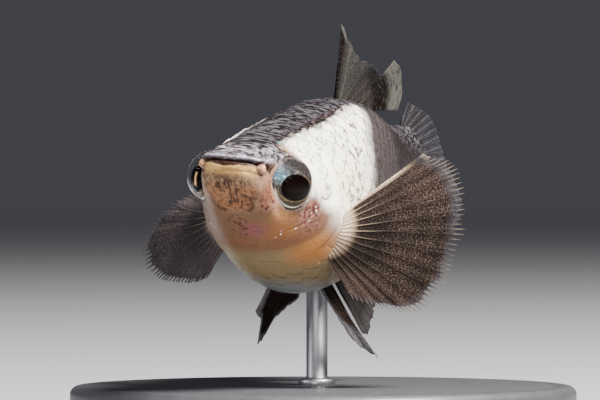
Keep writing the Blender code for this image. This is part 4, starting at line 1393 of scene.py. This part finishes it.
def camera():
    mouth = FISH @ (Vector(MOUTH_PLACE) * MM)
    back = from_target(VIEW_AZIMUTH, VIEW_ELEVATION)
    right = Vector((math.cos(VIEW_AZIMUTH), math.sin(VIEW_AZIMUTH), 0))
    up = back.cross(right)
    pixel = MM_A_PIXEL * MM
    aim = mouth + right * (FRAME_WIDTH / 2 - MOUTH_PIXEL[0]) * pixel
    aim -= up * (FRAME_HEIGHT / 2 - MOUTH_PIXEL[1]) * pixel
    made = bpy.data.objects.new("camera", bpy.data.cameras.new("camera"))
    bpy.context.scene.collection.objects.link(made)
    turning = Matrix((right, up, back)).transposed().to_4x4()
    made.matrix_world = Matrix.Translation(aim + back * VIEW_DISTANCE * MM) @ turning
    made.data.sensor_width = SENSOR_WIDTH
    made.data.lens = SENSOR_WIDTH * VIEW_DISTANCE / (FRAME_WIDTH * MM_A_PIXEL)
    made.data.clip_start = 0.01
    bpy.context.scene.camera = made


def area_light(name, azimuth, elevation, distance, size, power, colour=(1, 1, 1)):
    """A soft panel that faces the fish; angles in degrees, distance and size in millimetres."""
    middle = Vector(LIGHT_AIM) * MM
    way = from_target(math.radians(azimuth), math.radians(elevation))
    light = bpy.data.lights.new(name, "AREA")
    light.shape = "DISK"
    light.size = size * MM
    light.energy = power
    light.color = colour
    made = bpy.data.objects.new(name, light)
    made.location = middle + way * distance * MM
    made.rotation_euler = way.to_track_quat("Z", "Y").to_euler()
    bpy.context.scene.collection.objects.link(made)


def lights():
    area_light("key", 64, 50, 300, 120, 7.0, (1.0, 0.985, 0.96))
    area_light("front", 4, 6, 340, 140, 0.44)
    area_light("fill", -60, 25, 340, 200, 0.40, (0.92, 0.96, 1.0))
    world = bpy.data.worlds.new("studio")
    world.use_nodes = True
    background = world.node_tree.nodes["Background"]
    background.inputs["Color"].default_value = (*BACKGROUND, 1)
    background.inputs["Strength"].default_value = 1.0
    bpy.context.scene.world = world


def floor():
    """A pale floor that runs into the colour of the surroundings far from the model."""
    bpy.ops.mesh.primitive_circle_add(vertices=96, radius=FLOOR_RADIUS, fill_type="NGON")
    made = bpy.context.active_object
    made.name = "floor"
    look = bpy.data.materials.new("pale_floor")
    look.use_nodes = True
    tree = look.node_tree
    shader = tree.nodes["Principled BSDF"]
    shader.inputs["Base Color"].default_value = (0.30, 0.30, 0.31, 1)
    shader.inputs["Roughness"].default_value = 0.7
    glow = node(tree, "ShaderNodeEmission", (("Color", (*BACKGROUND, 1)), ("Strength", 1.0)))
    place = node(tree, "ShaderNodeTexCoord").outputs["Object"]
    away = node(tree, "ShaderNodeVectorMath", ((0, place),), operation="LENGTH").outputs["Value"]
    blend = node(tree, "ShaderNodeMixShader", ((0, soft_step(away, 0.15, 1.2)),
                                               (1, shader.outputs[0]), (2, glow.outputs[0])))
    feed(tree.nodes["Material Output"].inputs["Surface"], blend.outputs[0])
    made.data.materials.append(look)


def main():
    camera()
    skin()
    coat()
    eyes()
    pectoral_fins()
    pelvic_fins()
    dorsal_fin()
    tail_fin()
    anal_fin()
    stand()
    lights()
    floor()


main()
